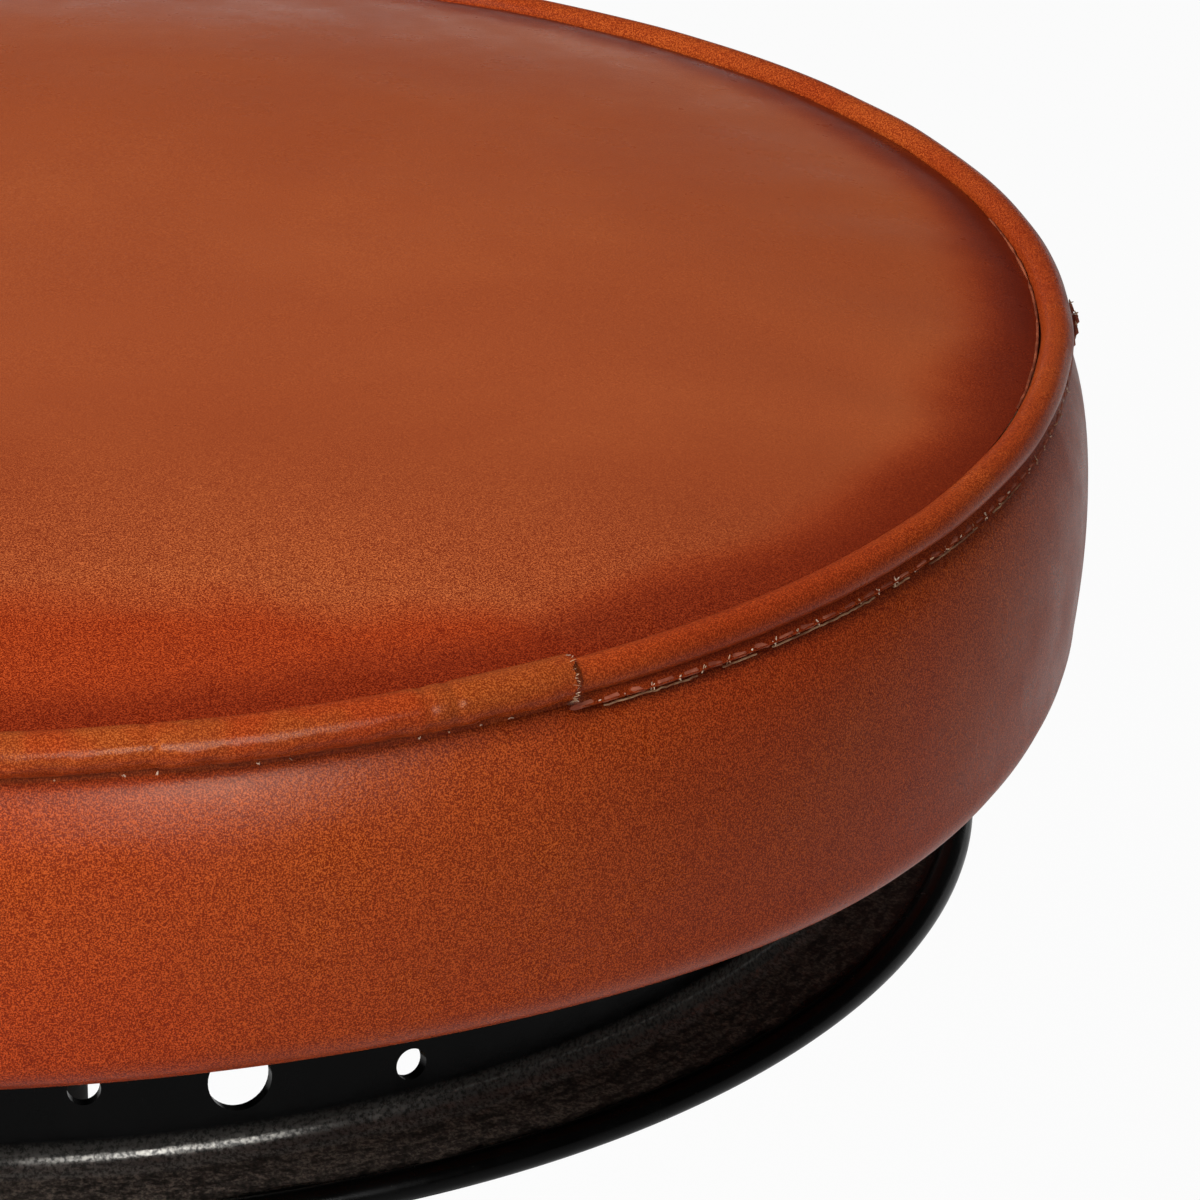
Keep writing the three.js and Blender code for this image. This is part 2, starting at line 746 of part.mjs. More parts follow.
// The seat turns and rises. Its group lies in the plane of the welt.
function seatGroup() {
  const group = new THREE.Group();
  group.position.z = weltPlaneHeight;
  group.add(
    mesh('cushion_top', cushionTop(), 'leather'),
    mesh('cushion_band', cushionBand(), 'leather'),
    mesh('welt', welt(), 'weltLeather'),
    mesh('welt_sleeve', weltSleeve(), 'weltLeather'),
    mesh('cushion_underside', cushionUnderside(), 'underside'),
    mesh('foam_core', foamCore(), 'foam'),
    mesh('seat_board', seatBoard(), 'plywood'),
    mesh('seat_pan', seatPan(), 'blackSteel'),
    mesh('screw_flange', screwFlange(), 'blackSteel'),
  );
  const screwPiece = mesh('screw', screw(), 'screwSteel');
  screwPiece.position.z = -weltPlaneHeight;
  group.add(screwPiece);
  const boltSeat = flangeBottom - fitGap;
  const boltLength = boardTop - teeNutThickness - fitGap - boltSeat;
  const nutSeat = boardTop - teeNutThickness;
  around(panBoltCount, 0, (azimuth) => azimuth).forEach((azimuth, index) => {
    const quarter = new THREE.Group();
    quarter.rotation.z = azimuth;
    const boltPlace = [0, -panBoltCircleRadius, boltSeat];
    const nutPlace = [0, -panBoltCircleRadius, nutSeat];
    const bolt = hexHeadBolt(hexBolt, boltLength);
    quarter.add(meshAt(`pan_bolt_${index + 1}`, bolt, 'zinc', boltPlace, Math.PI));
    quarter.add(meshAt(`tee_nut_${index + 1}`, teeNut(), 'zinc', nutPlace));
    group.add(quarter);
  });
  return group;
}

// The stop washer rises with the screw but need not turn, and its bolt belongs to the screw.
function stopGroup() {
  const group = new THREE.Group();
  const boltPlace = [0, 0, stopWasherTop - stopWasherThickness - fitGap];
  group.add(
    mesh('stop_washer', stopWasher(), 'zinc'),
    meshAt('stop_bolt', hexHeadBolt(stopBolt, stopBoltDepth), 'zinc', boltPlace, Math.PI),
  );
  return group;
}

function legGroup(azimuth, index) {
  const group = new THREE.Group();
  group.rotation.z = azimuth;
  const number = index + 1;
  group.add(mesh(`leg_${number}`, legBar(), 'blackSteel'));
  const hubBoltSeat = barRadius + barThickness / 2 + fitGap;
  const hubBoltLength = hubBoltSeat - hubWidth / 2 + hubBoltDepth - boltTail;
  legBoltDrops.forEach((drop, row) => {
    const place = [0, -hubBoltSeat, hubTopHeight - drop];
    const bolt = hexHeadBolt(hexBolt, hubBoltLength);
    const name = `leg_bolt_${number}_${row + 1}`;
    group.add(meshAt(name, bolt, 'zinc', place, quarterTurn));
  });
  const alongRingBolt = (distance) => [
    0,
    ringBoltPlace[1] - distance * outwardsAndUp.x,
    ringBoltPlace[2] + distance * outwardsAndUp.y,
  ];
  const headSeat = barThickness / 2 + fitGap;
  const nutSeat = -(ringInset + ringThickness / 2 + fitGap + nutHeight);
  const ringBoltLength = headSeat - nutSeat + boltTail;
  const ringBolt = hexHeadBolt(hexBolt, ringBoltLength);
  const ringNut = hexNut(hexBolt, nutHeight);
  group.add(
    meshAt(`ring_bolt_${number}`, ringBolt, 'zinc', alongRingBolt(headSeat), ringBoltTilt),
    meshAt(`ring_nut_${number}`, ringNut, 'zinc', alongRingBolt(nutSeat), ringBoltTilt),
  );
  const [screwX, screwY, screwZ] = glideScrewPlace;
  const screwSeat = [screwX, screwY, screwZ + headSeat];
  const screwLength = headSeat + barThickness / 2 + fitGap + glideScrewDepth;
  group.add(
    meshAt(`glide_${number}`, glide(), 'rubber', [screwX, screwY, 0]),
    meshAt(`glide_screw_${number}`, headedBolt(glideScrew, screwLength), 'zinc', screwSeat),
  );
  return group;
}

function baseGroup() {
  const group = new THREE.Group();
  group.add(
    mesh('hub', hub(), 'blackSteel'),
    mesh('screw_nut', screwNut(), 'bronze'),
    mesh('foot_ring', footRing(), 'blackSteel'),
  );
  const legs = around(legCount, radians(firstLegDegrees), (azimuth) => azimuth).map(legGroup);
  group.add(...legs);
  return group;
}

const stool = new THREE.Group();
stool.add(seatGroup(), stopGroup(), baseGroup());

export default stool;
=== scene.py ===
import math
import random

import bmesh
import bpy
from mathutils import Matrix, Vector, noise
from mathutils.kdtree import KDTree


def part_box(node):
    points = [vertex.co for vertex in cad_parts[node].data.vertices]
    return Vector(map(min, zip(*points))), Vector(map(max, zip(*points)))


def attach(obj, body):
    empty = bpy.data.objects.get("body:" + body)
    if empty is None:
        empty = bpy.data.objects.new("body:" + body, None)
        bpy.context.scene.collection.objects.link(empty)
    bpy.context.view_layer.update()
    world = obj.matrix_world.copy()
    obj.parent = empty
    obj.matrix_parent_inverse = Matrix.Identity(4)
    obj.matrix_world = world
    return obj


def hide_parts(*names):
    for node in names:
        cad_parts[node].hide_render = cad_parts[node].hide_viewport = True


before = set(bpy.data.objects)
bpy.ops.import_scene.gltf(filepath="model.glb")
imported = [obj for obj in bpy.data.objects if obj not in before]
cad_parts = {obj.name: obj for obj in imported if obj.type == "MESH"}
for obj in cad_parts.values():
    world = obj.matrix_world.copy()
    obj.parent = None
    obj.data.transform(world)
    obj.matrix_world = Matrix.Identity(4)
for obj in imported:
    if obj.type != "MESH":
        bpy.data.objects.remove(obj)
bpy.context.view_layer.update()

# Metres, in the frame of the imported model. Outlines are lists of (radius, height above the floor).
# Azimuths are in degrees: 0 faces -Y, where the camera stands, and 90 faces +X.
MM = 0.001
TAU = 2 * math.pi
SEED = 11


# Places read from the frame

welt_low, welt_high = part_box("welt")
cushion_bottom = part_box("cushion_band")[0].z
board_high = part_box("seat_board")[1]
pan_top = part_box("seat_pan")[1].z
flange_low, flange_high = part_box("screw_flange")
screw_low, screw_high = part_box("screw")
nut_low, nut_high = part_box("screw_nut")
washer_low, washer_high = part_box("stop_washer")

welt_plane = (welt_low.z + welt_high.z) / 2
welt_radius = (welt_high.z - welt_low.z) / 2
cushion_radius = welt_high.x
welt_centre = Vector((cushion_radius - welt_radius, welt_plane))

# Cushion
fit_gap = 0.3 * MM
skin_gap = 0.5 * MM
leather_thickness = 1.8 * MM
crown_rise = 12 * MM
crown_flat_share = 0.56
crown_shoulder_share = 0.9
seam_rise = 0.5 * MM
band_top_inset = 3.9 * MM
belly_reach = 4.6 * MM
belly_top_drop = 7.5 * MM
belly_low_drop = 28 * MM
heel_reach = 1.4 * MM
heel_rounding = 8 * MM
lip_width = 22 * MM
panel_edge = 0.4 * MM
seam_radius = welt_centre.x - welt_radius - fit_gap
heel_radius = cushion_radius + heel_reach
heel_centre = Vector((heel_radius - heel_rounding, cushion_bottom + heel_rounding))
lip_radius = heel_centre.x - lip_width
cushion_segments = 360
crown_sunk = 1.5 * MM
belly_sunk = 0.4 * MM
slack_unevenness = 0.3 * MM
swell_cap = 3 * MM
sags = ((56, 22, 2.6 * MM), (-16, 24, 1.2 * MM))  # azimuth, spread and depth
sag_reach = 18 * MM
filling_voxel = 5 * MM
filling_frames = 20
filling_neighbours = 30
filling_blur = 9 * MM
top_softness = 0.3 * MM
band_softness = 0.4 * MM
pucker_size = 0.25 * MM
pucker_reach = 7 * MM

# Sleeve over the joint of the welt
sleeve_thickness = 0.7 * MM
sleeve_start = -16
sleeve_end = 33.4
sleeve_low = -60
sleeve_high = 125
sleeve_dents = (11.6, 25.2, 26.6)  # azimuths
sleeve_dent = 0.22 * MM
sleeve_folds = ((420, 0.16 * MM), (190, 0.3 * MM), (80, 0.35 * MM))  # places a metre and height
sleeve_tuck = 0.5 * MM
sleeve_fray = 0.8 * MM
sleeve_fibres = 34
sleeve_roll = (1.6 * MM, 2.4 * MM)  # where the folds begin over the cord's middle, and how far down they grow
sleeve_tucked = (-0.4 * MM, 2.6 * MM)  # the same for the tuck
band_lift = 1.2 * MM
band_lift_drop = 5.5 * MM
band_lift_spread = 3 * MM

# Flange of the welt, with the seam's stitches. Drops are below the welt's plane
tape_line = ((177.3, -2.1), (178, -3.2), (179.1, -4.5))  # millimetres: radius, height over the plane
tape_thickness = 0.9 * MM
tape_root_drop = 2 * MM
tape_bend = 2.5 * MM
tape_tuck = 1.8 * MM
tape_flare = 2.4 * MM
flare_azimuth = 93
flare_spread = 3.5
stitch_pitch = 5 * MM
stitch_radius = 0.52 * MM
stitch_circle = 179.2 * MM
stitch_drop = 3.85 * MM
stitch_tuck = 1.5 * MM
rod_stations = ((-0.5, 0.35), (-0.32, 1), (0.32, 1), (0.5, 0.35))  # shares of its length and of its radius
outlet_circle = 180.6 * MM
outlet_drop = 3.2 * MM
raw_edge_radius = 0.17 * MM
raw_edge_circle = 179.3 * MM
raw_edge_drop = 4.8 * MM
raw_edge_steps = 1100
raw_edge_wander = 0.1 * MM
raw_edge_pattern = 28
raw_edge_shown = -0.06
stray_pattern = 9
stray_across = 0.25 * MM
stray_up = 0.2 * MM

# Seam that has opened beside the top, and the band that has slipped down below it
open_thread_radius = 0.27 * MM
open_thread_circle = 174.1 * MM
open_thread_rise = 0.45 * MM
open_thread_start = 76
open_thread_end = 104.8
open_thread_steps = 240
open_thread_wander = 0.35 * MM
gap_azimuth = 80
gap_spread = 12
gap_drop = 1.3 * MM
gap_depth_share = 0.22

# Pan
pan_sheet = 2 * MM
pan_depth = 27.5 * MM
pan_wall_radius = 147.5 * MM
pan_draft = math.radians(2)
pan_shoulder_radius = 6 * MM
pan_crease_radius = 4.5 * MM
brim_width = 15 * MM
brim_fall = math.radians(11)
bead_radius = 2.6 * MM
vent_groups = 4
vent_group_azimuth = 18.8
vents = (  # degrees from the group's middle, height over the crease, radius
    (-9.9, 12.6 * MM, 2.6 * MM),
    (-0.5, 11.4 * MM, 5.1 * MM),
    (10.5, 8.4 * MM, 2.6 * MM),
)
bolt_circle_radius = 40 * MM
bolt_hole_radius = 4.4 * MM
vent_reach = (138 * MM, 158 * MM)  # radii between which the holes are cut
pan_flat_rings = (0, 60 * MM, 110 * MM)
pan_segments = 360
crease_height = pan_top - pan_depth


# OUTLINES AND DIRECTIONS

def points(*places):
    """An outline from pairs of radius and height."""
    return [Vector(place) for place in places]


def polar(radius, azimuth, height):
    """A place from its radius, its azimuth in radians and its height."""
    return Vector((radius * math.sin(azimuth), -radius * math.cos(azimuth), height))


def facing(azimuth):
    """The direction outwards at an azimuth in radians."""
    return polar(1, azimuth, 0)


def turning(azimuth):
    """The direction in which the azimuth grows, square to facing."""
    return Vector((math.cos(azimuth), math.sin(azimuth), 0))


def around_axis(place):
    """Radius, azimuth in degrees and direction outwards of a place."""
    radius = math.hypot(place.x, place.y)
    azimuth = math.degrees(math.atan2(place.x, -place.y))
    return radius, azimuth, Vector((place.x, place.y, 0)) / max(radius, 1e-6)


def clamped(value):
    return min(1.0, max(0.0, value))


def bell(distance, spread):
    return math.exp(-(distance / spread) ** 2)


def arc(centre, radius, start, end, steps):
    angles = [math.radians(start + (end - start) * step / steps) for step in range(steps + 1)]
    return [Vector((centre.x + radius * math.cos(a), centre.y + radius * math.sin(a))) for a in angles]


def curve(places, steps):
    """A cubic curve from its four places, whose heights are counted from the welt's plane."""
    start, first, second, end = points(*places)
    line = []
    for step in range(steps + 1):
        t = step / steps
        s = 1 - t
        line.append(start * s**3 + first * 3 * s * s * t + second * 3 * s * t * t + end * t**3)
    return at_plane(line)


def rounded(before, corner, after, radius, steps):
    """Points of the arc that rounds a corner."""
    back = (before - corner).normalized()
    ahead = (after - corner).normalized()
    half = math.acos(max(-1, min(1, back.dot(ahead)))) / 2
    middle = (back + ahead).normalized()
    centre = corner + middle * (radius / math.sin(half))
    first = corner + back * (radius / math.tan(half)) - centre
    last = corner + ahead * (radius / math.tan(half)) - centre
    start = math.degrees(math.atan2(first.y, first.x))
    turn = math.degrees(math.atan2(first.x * last.y - first.y * last.x, first.dot(last)))
    return arc(centre, radius, start, start + turn, steps)


def offset(line, distance):
    """The line moved to the left of its direction where the distance is positive."""
    normals = []
    for here, there in zip(line, line[1:]):
        along = (there - here).normalized()
        normals.append(Vector((-along.y, along.x)))
    moved = []
    for index, place in enumerate(line):
        before = normals[max(index - 1, 0)]
        after = normals[min(index, len(normals) - 1)]
        moved.append(place + (before + after) * (distance / (1 + before.dot(after))))
    return moved


def at_plane(line):
    """A line drawn from the welt's plane, moved to its height above the floor."""
    return [Vector((place.x, place.y + welt_plane)) for place in line]


# MESHES

def new_object(name, data):
    made = bpy.data.objects.new(name, data)
    bpy.context.scene.collection.objects.link(made)
    return made


def new_piece(name, vertices, faces, material, sharp=35):
    mesh = bpy.data.meshes.new(name)
    mesh.from_pydata([tuple(v) for v in vertices], [], faces)
    work = bmesh.new()
    work.from_mesh(mesh)
    bmesh.ops.recalc_face_normals(work, faces=work.faces)
    work.to_mesh(mesh)
    work.free()
    mesh.materials.append(material)
    piece = new_object(name, mesh)
    shade(piece, sharp)
    return piece


def shade(piece, sharp):
    piece.data.shade_smooth()
    piece.data.set_sharp_from_angle(angle=math.radians(sharp))


def turned(name, outline, material, segments, start=0, end=360, sharp=35):
    """A closed outline turned about the axis. A point on the axis is one vertex."""
    whole = abs(end - start) >= 360
    rings = segments if whole else segments + 1
    vertices, rows = [], []
    for point in outline:
        if point.x < 1e-7:
            vertices.append(Vector((0, 0, point.y)))
            rows.append([len(vertices) - 1] * rings)
            continue
        row = []
        for ring in range(rings):
            azimuth = math.radians(start + (end - start) * ring / segments)
            row.append(len(vertices))
            vertices.append(polar(point.x, azimuth, point.y))
        rows.append(row)
    faces = []
    closing = outline[0].x >= 1e-7 or outline[-1].x >= 1e-7
    pairs = list(zip(rows, rows[1:])) + ([(rows[-1], rows[0])] if closing else [])
    for low, high in pairs:
        for ring in range(segments):
            after = (ring + 1) % rings
            corners = [low[ring], low[after], high[after], high[ring]]
            face = [c for i, c in enumerate(corners) if c not in corners[:i]]
            if len(face) > 2:
                faces.append(face)
    if not whole:
        faces += [[row[end] for row in rows] for end in (0, -1)]
    return new_piece(name, vertices, faces, material, sharp)


def moved_by(piece, change):
    """Moves every vertex by what change(place) gives."""
    for vertex in piece.data.vertices:
        vertex.co += change(vertex.co.copy())
    piece.data.update()


def settle(piece):
    """Applies the modifiers of a piece to its mesh."""
    bpy.context.view_layer.update()
    graph = bpy.context.evaluated_depsgraph_get()
    mesh = bpy.data.meshes.new_from_object(piece.evaluated_get(graph))
    piece.modifiers.clear()
    old = piece.data
    piece.data = mesh
    bpy.data.meshes.remove(old)


def cutter(radius, low, high, material, sides):
    return turned("cutter", points((0, low), (radius, low), (radius, high), (0, high)), material, sides)


def combined(piece, others, operation="DIFFERENCE", sharp=35):
    """Cuts the others out of the piece, or adds them, and removes them."""
    for other in others:
        change = piece.modifiers.new("change", "BOOLEAN")
        change.operation = operation
        change.solver = "EXACT"
        change.material_mode = "TRANSFER"
        change.object = other
    settle(piece)
    for other in others:
        bpy.data.objects.remove(other)
    shade(piece, sharp)


def joined(name, parts):
    """One piece from several, with the first one's materials."""
    work = bmesh.new()
    for part in parts:
        work.from_mesh(part.data)
    mesh = bpy.data.meshes.new(name)
    work.to_mesh(mesh)
    work.free()
    for material in parts[0].data.materials:
        mesh.materials.append(material)
    for part in parts:
        bpy.data.objects.remove(part)
    return new_object(name, mesh)


def placed(piece, body, slot, *nodes):
    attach(piece, body)
    if nodes:
        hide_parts(*nodes)


beyond = 5 * MM  # how far a cutter stands out of what it cuts
weld_distance = 0.005 * MM
flat_angle = math.radians(1)
bevel_angle = math.radians(30)


def dressed(node, body, slot, material, bevel, segments=2):
    """A copy of a CAD node with its edges rounded, which stands for it."""
    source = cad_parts[node].data
    vertices = [v.co.copy() for v in source.vertices]
    piece = new_piece(node + "_dressed", vertices, [tuple(p.vertices) for p in source.polygons], material)
    work = bmesh.new()
    work.from_mesh(piece.data)
    bmesh.ops.remove_doubles(work, verts=work.verts, dist=weld_distance)
    bmesh.ops.dissolve_limit(work, angle_limit=flat_angle, verts=work.verts, edges=work.edges)
    bmesh.ops.recalc_face_normals(work, faces=work.faces)
    work.to_mesh(piece.data)
    work.free()
    rounding = piece.modifiers.new("rounding", "BEVEL")
    rounding.width = bevel
    rounding.segments = segments
    rounding.limit_method = "ANGLE"
    rounding.angle_limit = bevel_angle
    settle(piece)
    shade(piece, 50)
    placed(piece, body, slot, node)


# MATERIALS

class Graph:
    """Short calls for the nodes of a world or of a material."""

    def __init__(self, owner):
        owner.use_nodes = True
        self.tree = owner.node_tree
        self.tree.nodes.clear()

    def node(self, kind, **settings):
        made = self.tree.nodes.new(kind)
        for key, value in settings.items():
            setattr(made, key, value)
        return made

    def link(self, source, target):
        self.tree.links.new(source, target)

    def feed(self, target, value):
        if isinstance(value, (int, float)):
            target.default_value = value
        elif isinstance(value, (tuple, list)):
            missing = len(target.default_value) - len(value)
            target.default_value = (*value, *(1,) * missing)
        else:
            self.link(value, target)

    def add(self, kind, inputs, output=0, **settings):
        """Adds a node, feeds its inputs and gives one of its outputs."""
        made = self.node(kind, **settings)
        for key, value in inputs.items():
            self.feed(made.inputs[key], value)
        return made.outputs[output]

    def math(self, operation, *values):
        return self.add("ShaderNodeMath", dict(enumerate(values)), operation=operation)

    def times(self, first, second):
        return self.math("MULTIPLY", first, second)

    def plus(self, first, second):
        return self.math("ADD", first, second)

    def most(self, first, second):
        return self.math("MAXIMUM", first, second)

    def span(self, value, low, high, start=0.0, end=1.0, smooth=True):
        inputs = {"Value": value, "From Min": low, "From Max": high, "To Min": start, "To Max": end}
        kind = "SMOOTHSTEP" if smooth else "LINEAR"
        return self.add("ShaderNodeMapRange", inputs, interpolation_type=kind)

    def mixed(self, factor, first, second):
        """A mix of two shaders."""
        return self.add("ShaderNodeMixShader", {0: factor, 1: first, 2: second})

    def glow(self, kind, strength):
        return self.add(kind, {"Color": (1, 1, 1), "Strength": strength})

    def mirrored(self, path):
        return self.most(path.outputs["Is Glossy Ray"], path.outputs["Is Transmission Ray"])


class Surface(Graph):
    """The nodes of one material, in the coordinates of its piece."""

    def __init__(self, name):
        self.material = bpy.data.materials.new(name)
        super().__init__(self.material)
        self.output = self.node("ShaderNodeOutputMaterial")
        self.shader = self.node("ShaderNodeBsdfPrincipled")
        self.link(self.shader.outputs[0], self.output.inputs["Surface"])
        self.place = self.node("ShaderNodeTexCoord").outputs["Object"]
        split = self.node("ShaderNodeSeparateXYZ")
        self.link(self.place, split.inputs[0])
        self.x, self.y, self.z = split.outputs

    def radius(self):
        return self.math("SQRT", self.plus(self.times(self.x, self.x), self.times(self.y, self.y)))

    def azimuth(self):
        """Degrees, 0 at the front."""
        return self.times(self.math("ARCTAN2", self.x, self.times(self.y, -1)), 360 / TAU)

    def noise(self, scale, detail=3, roughness=0.55, distortion=0.0, place=None):
        inputs = {"Scale": scale, "Detail": detail, "Roughness": roughness, "Distortion": distortion}
        return self.add("ShaderNodeTexNoise", {"Vector": place or self.place, **inputs}, "Fac")

    def cells(self, scale):
        return self.add("ShaderNodeTexVoronoi", {"Vector": self.place, "Scale": scale}, "Distance")

    def stretched(self, scale, turn=0):
        """The coordinates of the piece, scaled and turned by degrees, for a noise that is drawn out."""
        inputs = {"Vector": self.place, "Rotation": (0, 0, math.radians(turn)), "Scale": scale}
        return self.add("ShaderNodeMapping", inputs)

    def rings(self):
        """The marks of turning."""
        return self.noise(500, 3, 0.6, place=self.stretched((0.05, 0.05, 3)))

    def mix(self, factor, first, second, blend="MIX"):
        inputs = {"Factor": factor, 6: first, 7: second}
        return self.add("ShaderNodeMix", inputs, 2, data_type="RGBA", blend_type=blend)

    def bump(self, height, strength, distance, under=None):
        inputs = {"Strength": strength, "Distance": distance, "Height": height}
        return self.add("ShaderNodeBump", {**inputs, "Normal": under} if under else inputs)

    def finish(self, color, roughness, normal=None, **numbers):
        self.feed(self.shader.inputs["Base Color"], color)
        self.feed(self.shader.inputs["Roughness"], roughness)
        if normal:
            self.link(normal, self.shader.inputs["Normal"])
        for key, value in numbers.items():
            self.feed(self.shader.inputs[key.replace("_", " ")], value)
        return self.material


def leather(name, light, dark, burnish_and_shade_color, masks, roughness=0.3, gloss=0.07):
    """Waxed leather. masks gives the shares of burnish, of stain and of grain at a place. The burnish and
    stain colours also paint shade where the masks put them.
    """
    g = Surface(name)
    burnished, stain_and_shade_share, grain = masks(g)
    patches = g.noise(11, 3, 0.5, 0.4)
    mottle = g.noise(70, 5, 0.6)
    speck = g.noise(4000, 1, 0.6)
    color = g.mix(g.span(patches, 0.35, 0.68), dark, light)
    color = g.mix(g.span(mottle, 0.3, 0.75, 0.0, 0.5), color, dark)
    color = g.mix(burnished, color, burnish_and_shade_color)
    color = g.mix(stain_and_shade_share, color, stain)
    tint = g.mix(g.span(speck, 0.43, 0.64, smooth=False), (0.6, 0.42, 0.4), (1.75, 2.2, 2.1))
    color = g.mix(grain, color, tint, "MULTIPLY")
    folds = g.bump(g.noise(160, 4, 0.6), 0.14, 0.4 * MM)
    pores = g.bump(g.cells(1500), 0.3, 0.06 * MM, folds)
    fine = g.bump(speck, 0.3, 0.05 * MM, pores)
    rough = g.span(mottle, 0.3, 0.7, roughness - 0.05, roughness + 0.06)
    return g.finish(color, rough, fine, Specular_IOR_Level=gloss, Specular_Tint=(1, 0.92, 0.75))


def top_masks(g):
    """Burnished along the front where it is sat on, less so behind it, and darker beside the seam. The darker
    front and rim are partly burnish and partly painted shade where the sheen ends, and the seam side is
    painted shade.
    """
    wander = g.span(g.noise(26), 0.3, 0.7, -5 * MM, 5 * MM, smooth=False)
    radius = g.plus(g.radius(), g.times(wander, 0.6))
    # The front and the rim are partly burnish and partly painted shade where the sheen ends as the crown
    # curves down; the grain shows more there.
    front = g.span(g.plus(g.y, wander), -122 * MM, -140 * MM)
    rubbed = g.math("SUBTRACT", g.span(g.y, -45 * MM, -100 * MM), front)
    rim = g.span(radius, 155 * MM, 168 * MM, 0, 0.8)
    burnished = g.most(g.most(front, rim), g.times(rubbed, 0.22))
    # Painted shade in the dip beside the welt, deeper behind.
    painted_seam_shade = g.span(radius, 159 * MM, 172 * MM, 0, 0.95)
    painted_seam_shade = g.times(painted_seam_shade, g.span(g.y, -60 * MM, 20 * MM, 0.72, 1))
    stain_and_shade_share = g.most(painted_seam_shade, g.times(rubbed, 0.2))
    grain = g.span(g.y, -75 * MM, -135 * MM, 0.2, 1.0)
    return burnished, stain_and_shade_share, g.most(grain, g.times(rim, 0.6))


def band_masks(g):
    low = g.span(g.z, welt_plane - 20 * MM, welt_plane - 52 * MM, 0.1, 0.5)
    burnished = g.plus(low, g.span(g.noise(16), 0.4, 0.65, 0, 0.5))
    # Painted shade along the band's top, under the welt.
    painted_shade_under_welt = g.span(g.z, welt_plane - 8 * MM, welt_plane - 5 * MM, 0, 0.35)
    scuffs = g.span(g.noise(32, 5, 0.7, 0.6), 0.6, 0.72, 0, 0.3)
    return burnished, g.plus(painted_shade_under_welt, scuffs), 1.0


def welt_masks(g):
    # Painted shade on the lower side of the cord and its flange.
    under = g.span(g.z, welt_plane - 0.5 * MM, welt_plane - 3 * MM, 0, 0.4)
    patches = g.span(g.noise(45), 0.45, 0.65, 0, 0.5)
    return patches, under, 0.8


def sleeve_masks(g):
    """The upper slope stays light, the roll below it is redder and creased. The roll's redder colour is
    painted shade with painted bounce light, and its creases are painted shade.
    """
    wander = g.span(g.noise(60), 0.3, 0.7, -1.2 * MM, 1.2 * MM, smooth=False)
    height = g.plus(g.z, wander)
    # Painted shade on the lower roll, redder as bounce light from the band.
    roll = g.span(height, welt_plane + 1.6 * MM, welt_plane - 1 * MM, 0, 0.45)
    # Painted shade in the roll's creases.
    painted_crease_shade = g.span(g.noise(150, 4, 0.6, 1.5), 0.52, 0.62, 0, 0.6)
    patches = g.span(g.noise(38), 0.5, 0.62, 0, 0.6)
    return g.most(roll, patches), g.times(painted_crease_shade, roll), 0.8


def black_steel():
    g = Surface("black_steel")
    wear = g.span(g.noise(220, 5, 0.65), 0.58, 0.78)
    color = g.mix(wear, (0.006, 0.0055, 0.005), (0.025, 0.02, 0.016))
    rough = g.span(g.noise(60, 4, 0.6), 0.3, 0.7, 0.3, 0.5)
    skin = g.bump(g.noise(900, 4, 0.6), 0.15, 0.1 * MM)
    return g.finish(color, rough, skin, Specular_IOR_Level=0.5)


def pan_steel():
    """Oiled black. The crease is rubbed bright, partly bare metal and partly a painted highlight, and the
    brim brown and brushed along the turn.
    """
    g = Surface("pan_steel")
    radius = g.radius()
    wander = g.span(g.noise(70, 3, 0.6), 0.3, 0.7, -0.8 * MM, 0.8 * MM, smooth=False)
    place = g.plus(radius, wander)
    inner = g.span(place, 149 * MM, 151.5 * MM)
    outer = g.span(place, 160.5 * MM, 158 * MM)
    below_holes = g.span(g.z, crease_height + 5.5 * MM, crease_height + 3.5 * MM)
    brim = g.times(g.times(inner, outer), below_holes)
    turned_place = {0: g.times(radius, 6), 1: g.times(g.azimuth(), 0.006), 2: g.times(g.z, 6)}
    streaks = g.noise(160, 4, 0.5, place=g.add("ShaderNodeCombineXYZ", turned_place))
    speck = g.noise(1500, 4, 0.7)
    brown = g.mix(g.span(speck, 0.4, 0.68), (0.026, 0.022, 0.019), (0.125, 0.102, 0.081))
    brown = g.mix(g.span(streaks, 0.45, 0.6, 0, 0.7), brown, (0.005, 0.0045, 0.004))
    flecks = g.span(g.noise(700, 5, 0.75), 0.68, 0.76)
    color = g.mix(flecks, (0.001, 0.001, 0.0009), (0.05, 0.045, 0.038))
    color = g.mix(brim, color, brown)
    # Painted highlight: the crease is lighter and partly metal where the lamp's reflection falls, besides
    # being rubbed.
    crease = g.times(g.span(g.z, crease_height + 4.5 * MM, crease_height + 2.5 * MM),
                    g.span(place, 152 * MM, 150.5 * MM))
    rubbed = g.times(crease, g.span(speck, 0.38, 0.62, 0.1, 0.45))
    color = g.mix(rubbed, color, (0.22, 0.21, 0.19))
    rough = g.plus(g.span(brim, 0, 1, 0.22, 0.45), g.span(g.noise(150, 4), 0.3, 0.7, -0.05, 0.07))
    skin = g.bump(speck, 0.1, 0.06 * MM)
    skin = g.bump(streaks, 0.15, 0.1 * MM, skin)
    return g.finish(color, rough, skin, Metallic=rubbed, Specular_IOR_Level=0.08)


def bare_edge():
    g = Surface("bare_edge")
    color = g.mix(g.span(g.noise(900, 4), 0.4, 0.6), (0.05, 0.03, 0.018), (0.16, 0.11, 0.07))
    return g.finish(color, 0.5, g.bump(g.noise(1500), 0.2, 0.05 * MM), Metallic=0.4)


def turned_steel(name, light, dark, roughness):
    g = Surface(name)
    rings = g.rings()
    stain = g.span(g.noise(45, 5, 0.65), 0.4, 0.7)
    color = g.mix(stain, light, dark)
    rough = g.span(rings, 0.3, 0.7, roughness - 0.08, roughness + 0.1)
    return g.finish(color, rough, g.bump(rings, 0.12, 0.05 * MM), Metallic=1.0)


